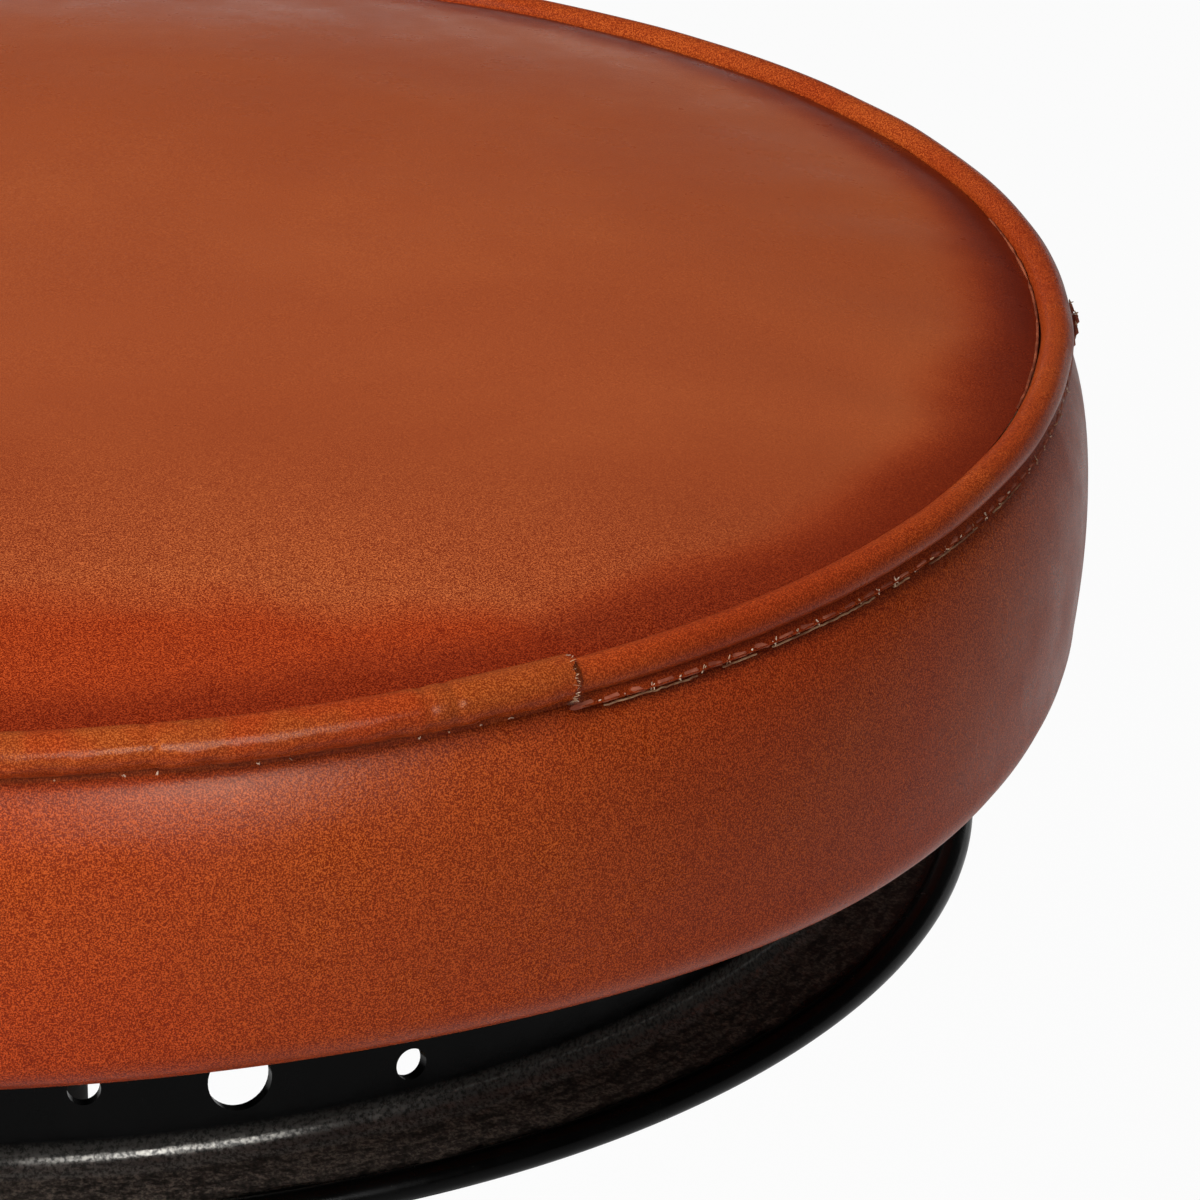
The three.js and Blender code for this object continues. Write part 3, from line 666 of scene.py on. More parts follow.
def screw_steel():
    """Bright on the thread, and blackened with oil on the plain shank."""
    g = Surface("screw_steel")
    rings = g.rings()
    bright = g.mix(g.span(g.noise(45, 5, 0.65), 0.4, 0.7), (0.3, 0.29, 0.28), (0.16, 0.14, 0.12))
    oiled = g.mix(g.span(rings, 0.4, 0.6), (0.007, 0.006, 0.005), (0.014, 0.012, 0.01))
    shank = g.span(g.z, nut_high.z - 0.5 * MM, nut_high.z + 2 * MM)
    rough = g.plus(g.span(rings, 0.3, 0.7, 0.24, 0.42), g.times(shank, 0.35))
    color = g.mix(shank, bright, oiled)
    bare = g.span(shank, 0, 1, 1, 0)
    return g.finish(color, rough, g.bump(rings, 0.12, 0.05 * MM), Metallic=bare, Specular_IOR_Level=0.1)


def thread_material(name, light, dark):
    g = Surface(name)
    color = g.mix(g.span(g.noise(260), 0.4, 0.6), light, dark)
    return g.finish(color, 0.85, g.bump(g.noise(3500, 2), 0.4, 0.05 * MM), Specular_IOR_Level=0.1)


def woven():
    """A plain weave of 1400 threads a metre."""
    g = Surface("underside_cloth")
    dark = (0.008, 0.007, 0.007)
    over = g.times(*(g.math("SINE", g.times(axis, 1400 * TAU / 2)) for axis in (g.x, g.y)))
    color = g.mix(g.span(over, -1, 1), dark, (0.03, 0.028, 0.026))
    color = g.mix(g.span(g.noise(40, 4), 0.3, 0.7, 0, 0.3), color, dark)
    return g.finish(color, 0.95, g.bump(over, 0.5, 0.2 * MM))


def foam_material():
    g = Surface("open_cell_foam")
    holes = g.cells(900)
    color = g.mix(g.span(holes, 0.1, 0.5), (0.45, 0.38, 0.22), (0.75, 0.66, 0.45))
    return g.finish(color, 0.95, g.bump(holes, 0.6, 0.3 * MM))


def plywood_material():
    g = Surface("plywood")
    figure = g.noise(60, 4, 0.6, 1.5, g.stretched((1, 0.12, 1), 20))
    layers = g.math("SINE", g.times(g.z, TAU / (3 * MM)))
    color = g.mix(g.span(figure, 0.35, 0.65), (0.42, 0.26, 0.12), (0.6, 0.42, 0.23))
    color = g.mix(g.span(layers, -0.2, 0.2, 0, 0.35), color, (0.3, 0.17, 0.08))
    return g.finish(color, 0.75, g.bump(figure, 0.2, 0.1 * MM))


def rubber_material():
    g = Surface("rubber")
    color = g.mix(g.noise(120, 4), (0.012, 0.012, 0.012), (0.03, 0.028, 0.026))
    return g.finish(color, 0.8, g.bump(g.noise(1600), 0.25, 0.08 * MM))


# Burnish colour; on the top's front and rim it also paints shade.
burnish_and_shade_red = (0.275, 0.031, 0.006)
# Stain colour, which also paints the shade beside the seam, on the welt's lower side, under it and in the
# sleeve's creases.
stain = (0.125, 0.0105, 0.003)

top_leather = leather("top_leather", (0.395, 0.088, 0.025), (0.34, 0.068, 0.0195), burnish_and_shade_red, top_masks)
band_leather = leather("band_leather", (0.3, 0.046, 0.0077), (0.26, 0.033, 0.0056), (0.29, 0.031, 0.0057),
                       band_masks, gloss=0.09)
welt_leather = leather("welt_leather", (0.34, 0.055, 0.01), (0.27, 0.032, 0.006), burnish_and_shade_red, welt_masks)
# The sleeve's burnish colour is also the painted red shade of its lower roll.
sleeve_leather = leather("sleeve_leather", (0.29, 0.054, 0.0105), (0.25, 0.04, 0.0083), (0.3, 0.028, 0.0055),
                         sleeve_masks, roughness=0.26)
raw_edge = thread_material("raw_edge", (0.5, 0.28, 0.15), (0.24, 0.09, 0.04))
pale_thread = thread_material("pale_thread", (0.75, 0.55, 0.4), (0.5, 0.28, 0.16))
waxed_thread = thread_material("waxed_thread", (0.33, 0.085, 0.036), (0.16, 0.035, 0.015))
dark_thread = thread_material("dark_thread", (0.42, 0.12, 0.065), (0.24, 0.05, 0.024))
black = black_steel()
pan_black = pan_steel()
worn_edge = bare_edge()
screw_metal = screw_steel()
bronze_metal = turned_steel("bronze", (0.42, 0.25, 0.09), (0.25, 0.13, 0.045), 0.38)
fastener_metal = turned_steel("fastener_steel", (0.13, 0.125, 0.12), (0.06, 0.055, 0.05), 0.42)
cloth = woven()
foam = foam_material()
plywood = plywood_material()
rubber = rubber_material()


# CUSHION

def crown_line(steps, sunk):
    """From the axis to the seam. A sunk crown is lower in its middle, and swells when it is filled."""
    rise = crown_rise - sunk
    flat, shoulder = crown_flat_share * seam_radius, crown_shoulder_share * seam_radius
    return curve(((0, rise), (flat, rise), (shoulder, rise), (seam_radius, seam_rise)), steps)


def belly_line(steps, sunk):
    reach = cushion_radius + belly_reach - sunk
    start = (cushion_radius - band_top_inset, -welt_radius - fit_gap)
    end = (heel_radius, heel_centre.y - welt_plane)
    belly = curve((start, (reach, -belly_top_drop), (reach, -belly_low_drop), end), steps)
    return belly + arc(heel_centre, heel_rounding, 0, -90, 8)[1:]


def skin(line):
    """Outline of the leather under a line, with its first point kept on the axis if it lies there."""
    inner = offset(line, -leather_thickness)
    if line[0].x < 1e-7:
        inner[0].x = 0
    return line + inner[::-1]


def softness(place, size):
    """A slow, smooth wandering of a hand-stuffed surface."""
    slow = noise.noise(place * 14 + Vector((3, 7, 1)))
    quick = noise.noise(place * 45 + Vector((9, 2, 5)))
    return size * (slow + 0.35 * quick)


def depth_share(place):
    """0 at the welt and 1 at the bottom of the cushion."""
    return clamped((welt_plane - place.z) / (welt_plane - cushion_bottom))


def stuffing(place):
    """The stuffing has settled outwards and down in places."""
    radius, azimuth, outward = around_axis(place)
    sag = sum(size * bell(azimuth - middle, spread) for middle, spread, size in sags)
    reach = clamped((radius - lip_radius) / sag_reach)
    return (outward * 0.5 + Vector((0, 0, -1))) * (sag * depth_share(place) ** 2 * reach)


cloth_values = {
    "quality": 6, "mass": 0.4, "tension_stiffness": 18, "compression_stiffness": 18, "shear_stiffness": 6,
    "bending_stiffness": 0.6, "use_pressure": True, "uniform_pressure_force": 4, "vertex_group_mass": "sewn",
}


def filled_cushion():
    """Swells a slack cushion under pressure with its seams held, as stuffing does. Gives a function
    from a place on the slack skin to how far it moved."""
    outline = crown_line(24, crown_sunk) + belly_line(16, belly_sunk)
    outline += points((lip_radius, cushion_bottom), (0, cushion_bottom))
    slack = turned("slack_cushion", outline, top_leather, 144)
    moved_by(slack, lambda place: Vector((0, 0, 1)) * softness(place * 1.7, slack_unevenness))
    remesh = slack.modifiers.new("remesh", "REMESH")
    remesh.mode = "VOXEL"
    remesh.voxel_size = filling_voxel
    settle(slack)

    seam_height = welt_plane - welt_radius / 2
    held = slack.vertex_groups.new(name="sewn")
    for vertex in slack.data.vertices:
        radius = around_axis(vertex.co)[0]
        seam = abs(vertex.co.z - seam_height) < 5 * MM and radius > seam_radius - 3 * MM
        under = vertex.co.z < cushion_bottom + 3 * MM and radius < heel_centre.x
        held.add([vertex.index], 1.0 if seam or under else 0.0, "REPLACE")
    before = [vertex.co.copy() for vertex in slack.data.vertices]

    cloth = slack.modifiers.new("filling", "CLOTH")
    for key, value in cloth_values.items():
        setattr(cloth.settings, key, value)
    cloth.settings.effector_weights.gravity = 0
    cloth.collision_settings.use_collision = False
    cloth.point_cache.frame_end = filling_frames
    for number in range(filling_frames):
        bpy.context.scene.frame_set(number + 1)
    settle(slack)
    bpy.context.scene.frame_set(1)

    tree = KDTree(len(before))
    for index, place in enumerate(before):
        tree.insert(place, index)
    tree.balance()
    after = [vertex.co.copy() for vertex in slack.data.vertices]
    bpy.data.objects.remove(slack)

    def swell(place):
        total, weights = Vector((0, 0, 0)), 0.0
        for _, index, distance in tree.find_n(place, filling_neighbours):
            weight = bell(distance, filling_blur) + 1e-6
            total += (after[index] - before[index]) * weight
            weights += weight
        change = total / weights
        return change * min(1.0, swell_cap / max(change.length, 1e-9))
    return swell


def make_cushion():
    swell = filled_cushion()

    def top_change(place):
        radius = around_axis(place)[0]
        near_seam = bell(seam_radius - radius, pucker_reach)
        pucker = noise.noise(Vector((place.x, place.y, 0)) * 60) * pucker_size * near_seam
        share = max(0.0, 1 - (radius / seam_radius) ** 4)
        soft = Vector((0, 0, softness(place, top_softness) * share + pucker))
        return soft + swell(place) * min(1, share * 4)

    def band_change(place):
        azimuth, outward = around_axis(place)[1:]
        depth = depth_share(place)
        share = math.sin(math.pi * depth)
        loose = bell(azimuth - gap_azimuth, gap_spread) * max(0.0, 1 - depth / gap_depth_share)
        slip = (outward * 0.2 + Vector((0, 0, -1))) * (gap_drop * loose)
        soft = outward * softness(place, band_softness) * share
        if under_sleeve(azimuth):
            slip.z += band_lift * bell(welt_plane - place.z - band_lift_drop, band_lift_spread)
        return soft + slip + swell(place) * min(1, share * 3) + stuffing(place)

    top = turned("seat_top", skin(crown_line(44, crown_sunk)), top_leather, cushion_segments)
    moved_by(top, top_change)
    placed(top, "seat", "top_leather", "cushion_top")

    line = belly_line(26, belly_sunk) + points((lip_radius, cushion_bottom))
    band = turned("seat_band", skin(line), band_leather, cushion_segments)
    moved_by(band, band_change)
    placed(band, "seat", "band_leather", "cushion_band")

    inset = -(leather_thickness + skin_gap)
    crown = offset(crown_line(16, crown_sunk), inset)
    crown[0].x = 0
    belly = offset(belly_line(10, belly_sunk), inset)
    pocket = board_high.x + fit_gap
    ceiling = board_high.z + skin_gap
    outline = crown + belly + points((pocket, belly[-1].y), (pocket, ceiling), (0, ceiling))
    core = turned("foam_filling", outline, foam, 120)
    placed(core, "seat", "foam", "foam_core")


# WELT, SLEEVE AND SEAM

def strayed(place):
    """How far the cord strays from its circle."""
    out = facing(math.atan2(place.x, -place.y))
    across = noise.noise(out * stray_pattern) * stray_across
    up = noise.noise(out * stray_pattern + Vector((5, 5, 5))) * stray_up
    return out * across + Vector((0, 0, up))


def under_sleeve(degrees):
    return sleeve_start < degrees < sleeve_end


def tape_reach(degrees, tuck):
    """The flange of the welt stands out where its ends meet, and lies deeper under the sleeve."""
    reach = tape_flare * bell(degrees - flare_azimuth, flare_spread)
    return reach - tuck if under_sleeve(degrees) else reach


def tape_place(azimuth, radius, drop):
    """A place on the flange."""
    out = facing(azimuth)
    reach = tape_reach(math.remainder(math.degrees(azimuth), 360), stitch_tuck)
    return out * (radius + reach) + Vector((0, 0, welt_plane - drop)) + strayed(out * radius)


class Shapes:
    """Small shapes that are gathered in one mesh on the welt."""

    def __init__(self):
        self.vertices, self.faces = [], []

    def add(self, vertices, faces):
        base = len(self.vertices)
        self.vertices += vertices
        self.faces += [[base + corner for corner in face] for face in faces]

    def finish(self, name, material):
        placed(new_piece(name, self.vertices, self.faces, material), "seat", "welt_leather")


def ring_of(middle, side, up, radius, sides):
    turns = [TAU * step / sides for step in range(sides)]
    return [middle + (side * math.cos(turn) + up * math.sin(turn)) * radius for turn in turns]


def tube(rings):
    """Vertices and faces of a tube through rings of vertices, with its ends closed."""
    sides = len(rings[0])
    vertices = [place for ring in rings for place in ring]
    faces = [list(range(sides)), list(range(len(vertices) - sides, len(vertices)))]
    for first in range(0, len(vertices) - sides, sides):
        for step in range(sides):
            after = (step + 1) % sides
            faces.append([first + step, first + after, first + sides + after, first + sides + step])
    return vertices, faces


def rope(path, radius, sides):
    """A tube along an open and nearly level path."""
    rings = []
    for index, middle in enumerate(path):
        along = (path[min(index + 1, len(path) - 1)] - path[max(index - 1, 0)]).normalized()
        side = along.cross(Vector((0, 0, 1))).normalized()
        rings.append(ring_of(middle, side, side.cross(along), radius, sides))
    return tube(rings)


def rod(middle, along, length, radius, sides=6):
    """A short tube with rounded ends."""
    along = along.normalized()
    side = along.orthogonal().normalized()
    up = along.cross(side)
    return tube([ring_of(middle + along * (share * length), side, up, radius * width, sides)
                 for share, width in rod_stations])


def make_welt():
    cord = turned("cord_cover", arc(welt_centre, welt_radius, 0, 360, 24)[1:], welt_leather, 720)
    line = at_plane([Vector(place) * MM for place in tape_line])
    tape = turned("tape", line + offset(line, tape_thickness)[::-1], welt_leather, 720, sharp=50)

    def flared(place):
        azimuth, outward = around_axis(place)[1:]
        share = clamped((welt_plane - tape_root_drop - place.z) / tape_bend)
        return outward * (tape_reach(azimuth, tape_tuck) * share)

    moved_by(tape, flared)
    piece = joined("welt_cord", [cord, tape])
    shade(piece, 50)
    moved_by(piece, strayed)
    placed(piece, "seat", "welt_leather", "welt")


def make_raw_edge():
    """The cut edge of the flange, which shows in lengths, and the thread in the open seam."""
    draw = random.Random(SEED + 1)
    edge, path = Shapes(), []
    bare = 360 + sleeve_start - sleeve_end
    for step in range(raw_edge_steps + 1):
        azimuth = math.radians(sleeve_end + bare * step / raw_edge_steps)
        pattern = noise.noise(Vector((math.sin(azimuth), math.cos(azimuth), 0)) * raw_edge_pattern)
        shown = pattern > raw_edge_shown
        if shown and step < raw_edge_steps:
            across, up = (draw.uniform(-raw_edge_wander, raw_edge_wander) for _ in range(2))
            path.append(tape_place(azimuth, raw_edge_circle + across, raw_edge_drop - up))
            continue
        if len(path) > 2:
            edge.add(*rope(path, raw_edge_radius, 5))
        path = []
    edge.finish("raw_edge_of_tape", raw_edge)

    span = open_thread_end - open_thread_start
    for step in range(open_thread_steps + 1):
        out = facing(math.radians(open_thread_start + span * step / open_thread_steps))
        rise = open_thread_rise + noise.noise(out * 40) * open_thread_wander
        path.append(out * open_thread_circle + Vector((0, 0, welt_plane + rise)))
    thread = Shapes()
    thread.add(*rope(path, open_thread_radius, 8))
    thread.finish("open_seam_thread", waxed_thread)


def end_slant(across):
    """The sleeve is cut at a slant."""
    return -0.4 * MM - 0.3 * max(0.0, across)


def make_sleeve():
    """A wrapped strip whose lower roll is creased. Its cut end is frayed."""
    inner_radius = welt_radius + fit_gap
    outer = arc(welt_centre, inner_radius + sleeve_thickness, sleeve_low, sleeve_high, 40)
    inner = arc(welt_centre, inner_radius, sleeve_high, sleeve_low, 22)
    piece = turned("welt_sleeve_cover", outer + inner, sleeve_leather, 420, sleeve_start, sleeve_end, 50)

    def creased(place):
        radius, azimuth, outward = around_axis(place)
        across, up = radius - welt_centre.x, place.z - welt_centre.y
        if math.hypot(across, up) < inner_radius + sleeve_thickness / 2:
            return strayed(place)
        roll, tucked = (clamped((start - up) / depth) for start, depth in (sleeve_roll, sleeve_tucked))
        tucked *= sleeve_tuck
        folds = sum(noise.noise(place * count) * size for count, size in sleeve_folds)
        dents = sum(bell(azimuth - middle, 0.3) for middle in sleeve_dents) * sleeve_dent
        frayed = bell(sleeve_end - azimuth, 0.5) * noise.noise(place * 900) * sleeve_fray
        slanted = end_slant(across) * bell(sleeve_end - azimuth, 3)
        direction = (outward * across + Vector((0, 0, up))).normalized()
        along = Vector((-outward.y, outward.x, 0))
        return strayed(place) + direction * (folds * roll - tucked - dents) + along * (frayed + slanted)

    moved_by(piece, creased)
    placed(piece, "seat", "welt_leather", "welt_sleeve")

    draw = random.Random(SEED + 2)
    fibres = Shapes()
    outward, along = facing(math.radians(sleeve_end)), turning(math.radians(sleeve_end))
    for number in range(sleeve_fibres):
        angle = math.radians(sleeve_low + (sleeve_high - sleeve_low) * number / (sleeve_fibres - 1))
        ring = outward * math.cos(angle) + Vector((0, 0, math.sin(angle)))
        depth = inner_radius + sleeve_thickness * draw.uniform(0.25, 1.0)
        middle = outward * welt_centre.x + Vector((0, 0, welt_centre.y)) + ring * depth
        middle += along * end_slant(math.cos(angle) * depth)
        lean = along + ring * draw.uniform(-0.5, 0.9) + along.cross(ring) * draw.uniform(-0.8, 0.8)
        fibres.add(*rod(middle, lean, draw.uniform(0.4, 1.6) * MM, draw.uniform(0.04, 0.1) * MM, 5))
    fibres.finish("sleeve_fibres", pale_thread)


def make_stitches():
    """The seam's thread, and the pale fibres that stand out of its holes."""
    draw = random.Random(SEED)
    count = round(TAU * stitch_circle / stitch_pitch)
    thread, fibres = Shapes(), Shapes()
    for number in range(count):
        azimuth = TAU * number / count
        out, along = facing(azimuth), turning(azimuth)
        covered = under_sleeve(math.remainder(math.degrees(azimuth), 360))
        middle = tape_place(azimuth, stitch_circle, stitch_drop)
        outlet = tape_place(azimuth, outlet_circle, outlet_drop) if covered else middle + out * (0.3 * MM)
        lean = Vector((0, 0, draw.uniform(-0.16, 0.16)))
        length = stitch_pitch * draw.uniform(0.6, 0.9)
        thread.add(*rod(middle, along + lean, length, stitch_radius * (0.8 if covered else 1)))
        tufts, long, thick = ((0, 0, 1, 3), 0.5, 0.7) if covered else ((1, 2, 3, 4), 1.15, 1.1)
        for _ in range(draw.choice(tufts)):
            hole = outlet + along * (stitch_pitch / 2 + draw.uniform(-0.35, 0.35) * MM)
            length = draw.uniform(0.4, 1.5) * long * MM
            lean = Vector((0, 0, 1)) * draw.uniform(-1, 1) + along * draw.uniform(-0.8, 0.8)
            lean += out * draw.uniform(0, 0.5)
            fibres.add(*rod(hole, lean, length, draw.uniform(0.07, 0.15) * thick * MM, 5))
    thread.finish("seam_thread", dark_thread)
    fibres.finish("seam_fibres", pale_thread)


# UNDERSIDE

def make_underside():
    radius = lip_radius - skin_gap
    low, high = cushion_bottom, cushion_bottom + leather_thickness
    outline = points((0, low), (radius - panel_edge, low), (radius, low + panel_edge),
                     (radius, high), (0, high))
    piece = turned("underside_panel", outline, cloth, 180)
    combined(piece, bolt_holes(low - beyond, high + beyond, cloth))
    placed(piece, "seat", "underside_cloth", "cushion_underside")


def bolt_holes(low, high, material):
    holes = []
    for quarter in range(4):
        hole = cutter(bolt_hole_radius, low, high, material, 24)
        hole.data.transform(Matrix.Translation((0, -bolt_circle_radius, 0)))
        hole.data.transform(Matrix.Rotation(math.radians(90) * quarter, 4, "Z"))
        holes.append(hole)
    return holes


# PAN

pan_middle_top = pan_top - pan_sheet / 2
pan_middle_crease = crease_height - pan_sheet / 2
bead_centre = Vector((pan_wall_radius + brim_width, pan_middle_crease - brim_width * math.tan(brim_fall)))


def pan_outline():
    fall = pan_depth * math.tan(pan_draft)
    middle = points(*((radius, pan_middle_top) for radius in pan_flat_rings))
    shoulder, crease = points((pan_wall_radius - fall, pan_middle_top), (pan_wall_radius, pan_middle_crease))
    middle += rounded(middle[0], shoulder, crease, pan_shoulder_radius, 10)
    middle += rounded(shoulder, crease, bead_centre, pan_crease_radius, 14)
    middle += [bead_centre]
    upper = offset(middle, pan_sheet / 2)
    lower = offset(middle, -pan_sheet / 2)
    upper[0].x = lower[0].x = 0
    joint = math.degrees(math.asin(pan_sheet / 2 / bead_radius))
    inwards = 180 - math.degrees(brim_fall)
    bead = arc(bead_centre, bead_radius, inwards - joint, inwards + joint - 360, 22)
    return upper[:-1] + bead + lower[:-1][::-1]


def vent_holes():
    holes = []
    for group in range(vent_groups):
        for degrees, rise, radius in vents:
            azimuth = vent_group_azimuth + group * 360 / vent_groups + degrees
            hole = cutter(radius, *vent_reach, pan_black, 40)
            hole.data.transform(Matrix.Rotation(math.radians(90), 4, "X"))
            hole.data.transform(Matrix.Translation((0, 0, crease_height + rise)))
            hole.data.transform(Matrix.Rotation(math.radians(azimuth), 4, "Z"))
            holes.append(hole)
    return holes


def make_pan():
    piece = turned("pressed_pan", pan_outline(), pan_black, pan_segments)
    holes = bolt_holes(pan_top - pan_sheet - beyond, pan_top + beyond, worn_edge)
    combined(piece, vent_holes() + holes)
    placed(piece, "seat", "black_steel", "seat_pan")


# FLANGE, SCREW AND NUT

shank_radius = 13 * MM
collar_radius = 22 * MM
flange_thickness = 6 * MM
turned_edge = 0.6 * MM
screw_radius = 11 * MM
thread_depth = 2.4 * MM
thread_lead = 12 * MM
thread_foot_share = 0.34
thread_crest_share = 0.16
screw_chamfer = 1.5 * MM
shoulder_gap = 0.5 * MM
thread_steps = 40
nut_flange_thickness = 6 * MM
nut_flange_width = 8 * MM
nut_bore = 11.6 * MM
stop_bore = 5.4 * MM
stop_bore_depth = 20 * MM


def eased(corners, radius, steps=3):
    """A closed outline with every corner rounded."""
    line = []
    for index, corner in enumerate(corners):
        after = corners[(index + 1) % len(corners)]
        line += rounded(corners[index - 1], corner, after, radius, steps)
    return line


def make_flange():
    bore = shank_radius + fit_gap
    middle = flange_high.z - flange_thickness
    corners = points((bore, flange_high.z), (flange_high.x, flange_high.z), (flange_high.x, middle),
                     (collar_radius, middle), (collar_radius, flange_low.z), (bore, flange_low.z))
    piece = turned("flange", eased(corners, turned_edge), black, 120)
    combined(piece, bolt_holes(middle - beyond, flange_high.z + beyond, worn_edge))
    placed(piece, "seat", "black_steel", "screw_flange")


def thread_ridge(bottom, top):
    foot = thread_lead * thread_foot_share
    crest = thread_lead * thread_crest_share
    root = screw_radius - thread_depth
    steps = int((top - bottom - foot) / thread_lead * thread_steps)
    vertices, faces = [], []
    for step in range(steps + 1):
        azimuth = step / thread_steps * TAU
        height = bottom + foot + step / thread_steps * thread_lead
        growth = min(1, (step + 1) / (thread_steps / 4))
        outer = root + thread_depth * growth
        inner = root - thread_depth / 2
        for radius, rise in ((inner, -foot), (inner, foot), (outer, crest), (outer, -crest)):
            vertices.append(polar(radius, azimuth, height + rise))
    for step in range(steps):
        for side in range(4):
            low, high = step * 4, (step + 1) * 4
            faces.append([low + side, low + (side + 1) % 4, high + (side + 1) % 4, high + side])
    faces += [[0, 1, 2, 3], [steps * 4 + side for side in range(4)]]
    return vertices, faces


def make_screw():
    root = screw_radius - thread_depth
    shoulder = nut_high.z + shoulder_gap
    low, high = screw_low.z, screw_high.z
    outline = points((0, low), (root - screw_chamfer, low), (root, low + screw_chamfer), (root, shoulder),
                     (shank_radius - turned_edge, shoulder), (shank_radius, shoulder + turned_edge),
                     (shank_radius, high), (0, high))
    piece = turned("lift_screw", outline, screw_metal, 72)
    ridge = new_piece("ridge", *thread_ridge(low + screw_chamfer, shoulder + thread_lead), screw_metal)
    combined(piece, [ridge], "UNION")
    bore = cutter(stop_bore, low - beyond, low + stop_bore_depth, screw_metal, 24)
    combined(piece, [bore], sharp=30)
    placed(piece, "seat", "screw_steel", "screw")


def make_nut():
    base = nut_high.z - nut_flange_thickness
    wall = nut_high.x - nut_flange_width
    corners = points((nut_bore, nut_low.z), (wall, nut_low.z), (wall, base), (nut_high.x, base),
                     (nut_high.x, nut_high.z), (nut_bore, nut_high.z))
    piece = turned("bronze_nut", eased(corners, turned_edge), bronze_metal, 96)
    placed(piece, "base", "bronze", "screw_nut")


def make_washer():
    corners = points((stop_bore, washer_low.z), (washer_high.x, washer_low.z),
                     (washer_high.x, washer_high.z), (stop_bore, washer_high.z))
    piece = turned("stop_plate", eased(corners, turned_edge), fastener_metal, 72)
    placed(piece, "stop", "fastener_steel", "stop_washer")


# BASE

ring_lean = math.radians(8)
ring_width = 25 * MM
ring_thickness = 6 * MM
ring_sides = 40
ring_edge = 1.2 * MM


def make_ring():
    """Follows the CAD ring's section, with a round course in place of its flats."""
    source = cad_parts["foot_ring"].data
    across = Vector((math.cos(ring_lean), math.sin(ring_lean))) * (ring_thickness / 2)
    along = Vector((-math.sin(ring_lean), math.cos(ring_lean))) * (ring_width / 2)
    outer = max(math.hypot(v.co.x, v.co.y) for v in source.vertices) * math.cos(math.pi / ring_sides)
    centre = Vector((outer, min(v.co.z for v in source.vertices))) - across + along
    corners = [centre + across * a + along * b for a, b in ((-1, -1), (1, -1), (1, 1), (-1, 1))]
    piece = turned("rolled_ring", eased(corners, ring_edge, 4), black, 240)
    placed(piece, "base", "black_steel", "foot_ring")


def bright(node, body, rounding):
    dressed(node, body, "fastener_steel", fastener_metal, rounding)


def make_base():
    make_ring()
    dressed("hub", "base", "black_steel", black, 1.2 * MM, 3)
    for number in range(1, 5):
        dressed(f"leg_{number}", "base", "black_steel", black, 0.9 * MM, 3)
    for number in range(1, 5):
        dressed(f"glide_{number}", "base", "rubber", rubber, 0.8 * MM)
        bright(f"glide_screw_{number}", "base", 0.4 * MM)


def make_fasteners():
    for number in range(1, 5):
        bright(f"pan_bolt_{number}", "seat", 0.5 * MM)
        bright(f"tee_nut_{number}", "seat", 0.3 * MM)
        for name in ("ring_bolt_{}", "ring_nut_{}", "leg_bolt_{}_1", "leg_bolt_{}_2"):
            bright(name.format(number), "base", 0.5 * MM)
    bright("stop_bolt", "seat", 0.5 * MM)


make_cushion()
make_welt()
make_raw_edge()
make_sleeve()
make_stitches()
make_underside()
dressed("seat_board", "seat", "plywood", plywood, 0.6 * MM)
make_pan()
make_flange()
make_screw()
make_nut()
make_washer()
make_base()
make_fasteners()


# STAGE, LIGHT AND CAMERA

floor_reach = 12
floor_drop = 0.2 * MM
lamp_distance = 1.9
camera_place = (0.1017, -1.2383, 1.1231)  # fitted to the photograph
camera_tilt = math.radians(66.659)
camera_lens = 240  # millimetres on a sensor 36 wide


def shown_white(g, lit):
    """White for the camera, less so in gloss and glass, over what the lamps light, so a shadow shows."""
    path = g.node("ShaderNodeLightPath")
    seen = g.most(path.outputs["Is Camera Ray"], g.times(g.mirrored(path), 0.25))
    glow = g.glow("ShaderNodeEmission", 1)
    g.link(g.mixed(g.times(seen, 0.94), lit, glow), g.output.inputs["Surface"])


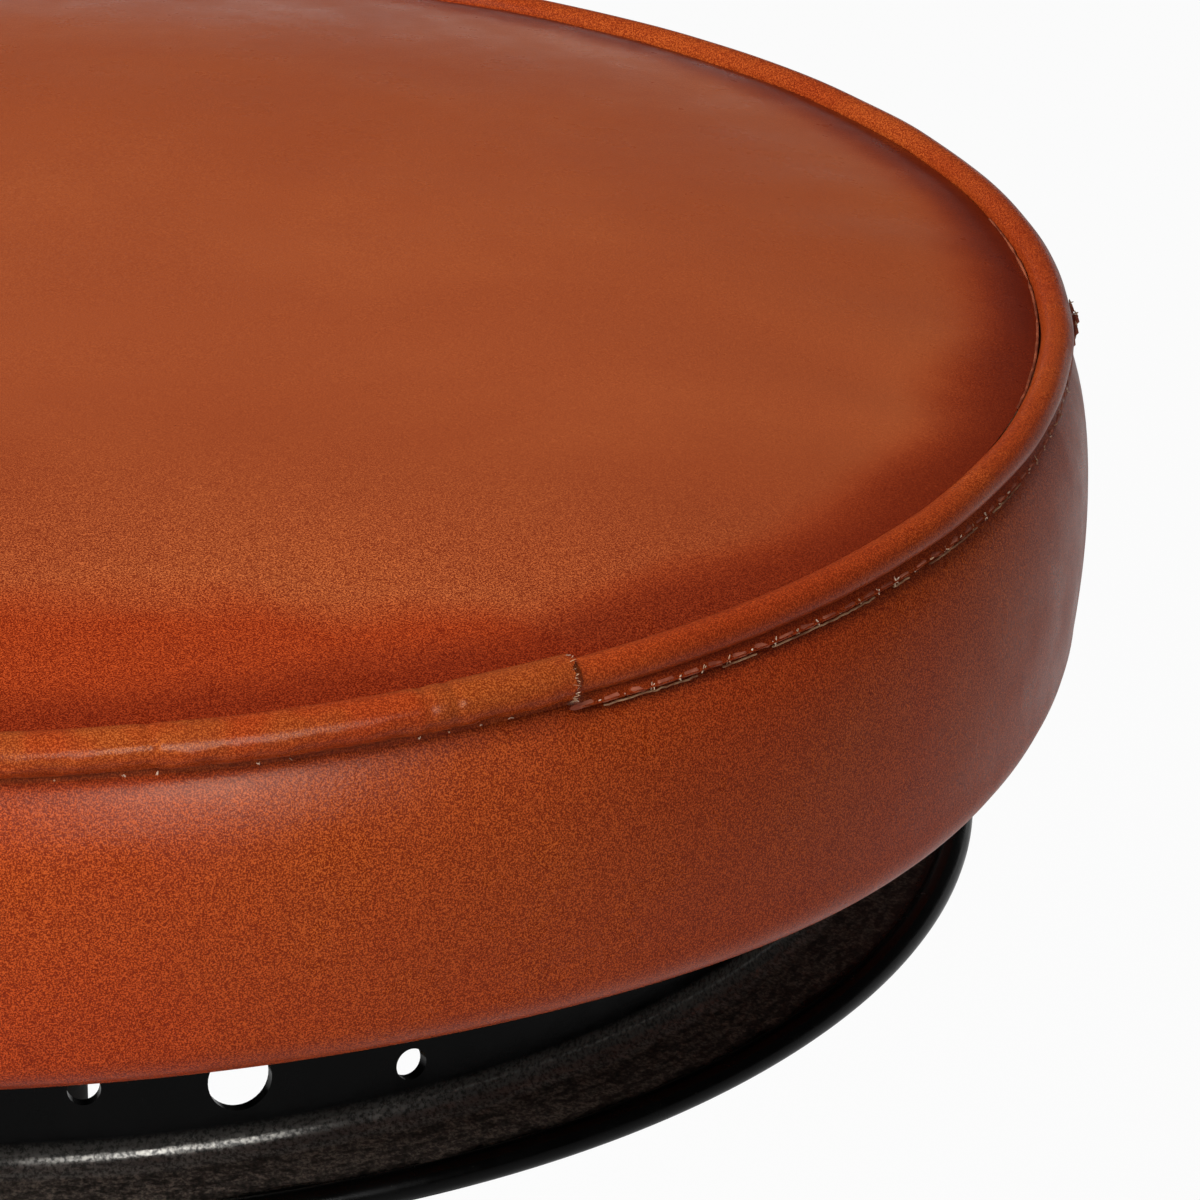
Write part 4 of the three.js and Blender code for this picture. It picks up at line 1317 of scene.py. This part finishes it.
def make_floor():
    g = Surface("floor")
    g.finish((0.85, 0.85, 0.85), 0.9, Specular_IOR_Level=0.2)
    shown_white(g, g.shader.outputs[0])
    corners = [(floor_reach * x, floor_reach * y, 0) for x, y in ((-1, -1), (1, -1), (1, 1), (-1, 1))]
    floor = new_piece("floor", corners, [[0, 1, 2, 3]], g.material)
    floor.location.z = -floor_drop


def area_light(name, azimuth, elevation, size, power):
    """A square lamp that faces the cushion, with its azimuth and elevation in degrees."""
    lamp = bpy.data.lights.new(name, "AREA")
    lamp.shape = "SQUARE"
    lamp.size = size
    lamp.energy = power
    light = new_object(name, lamp)
    around, up = math.radians(azimuth), math.radians(elevation)
    direction = Vector((math.sin(around) * math.cos(up), -math.cos(around) * math.cos(up), math.sin(up)))
    light.location = Vector((0, 0, welt_plane)) + direction * lamp_distance
    light.rotation_euler = direction.to_track_quat("Z", "Y").to_euler()
    return light


def make_world():
    """White behind the stool. Gloss sees the low white backdrop, and a dim room above and before it."""
    world = bpy.data.worlds.new("studio")
    bpy.context.scene.world = world
    g = Graph(world)
    path = g.node("ShaderNodeLightPath")
    split = g.node("ShaderNodeSeparateXYZ")
    g.link(g.node("ShaderNodeTexCoord").outputs["Generated"], split.inputs[0])
    behind = g.span(split.outputs["Y"], 0.3, 0.9, smooth=False)
    top, bottom = (math.sin(math.radians(elevation)) for elevation in (4, 0.3))
    low = g.span(split.outputs["Z"], top, bottom, smooth=False)
    white, dim, fill = (g.glow("ShaderNodeBackground", strength) for strength in (1, 0.05, 0.32))
    room = g.mixed(g.times(behind, low), dim, white)
    unseen = g.mixed(g.mirrored(path), fill, room)
    shown = g.mixed(path.outputs["Is Camera Ray"], unseen, white)
    g.link(shown, g.node("ShaderNodeOutputWorld").inputs[0])


def make_camera():
    data = bpy.data.cameras.new("camera")
    data.lens = camera_lens
    data.clip_end = 50
    camera = new_object("camera", data)
    camera.location = camera_place
    camera.rotation_euler = (camera_tilt, 0, 0)
    bpy.context.scene.camera = camera


make_floor()
make_world()
area_light("key", -36, 40, 1.1, 47)
window = area_light("window", 23, 19, 0.8, 42)
window.visible_diffuse = False
make_camera()
bpy.context.scene.view_settings.view_transform = "Standard"
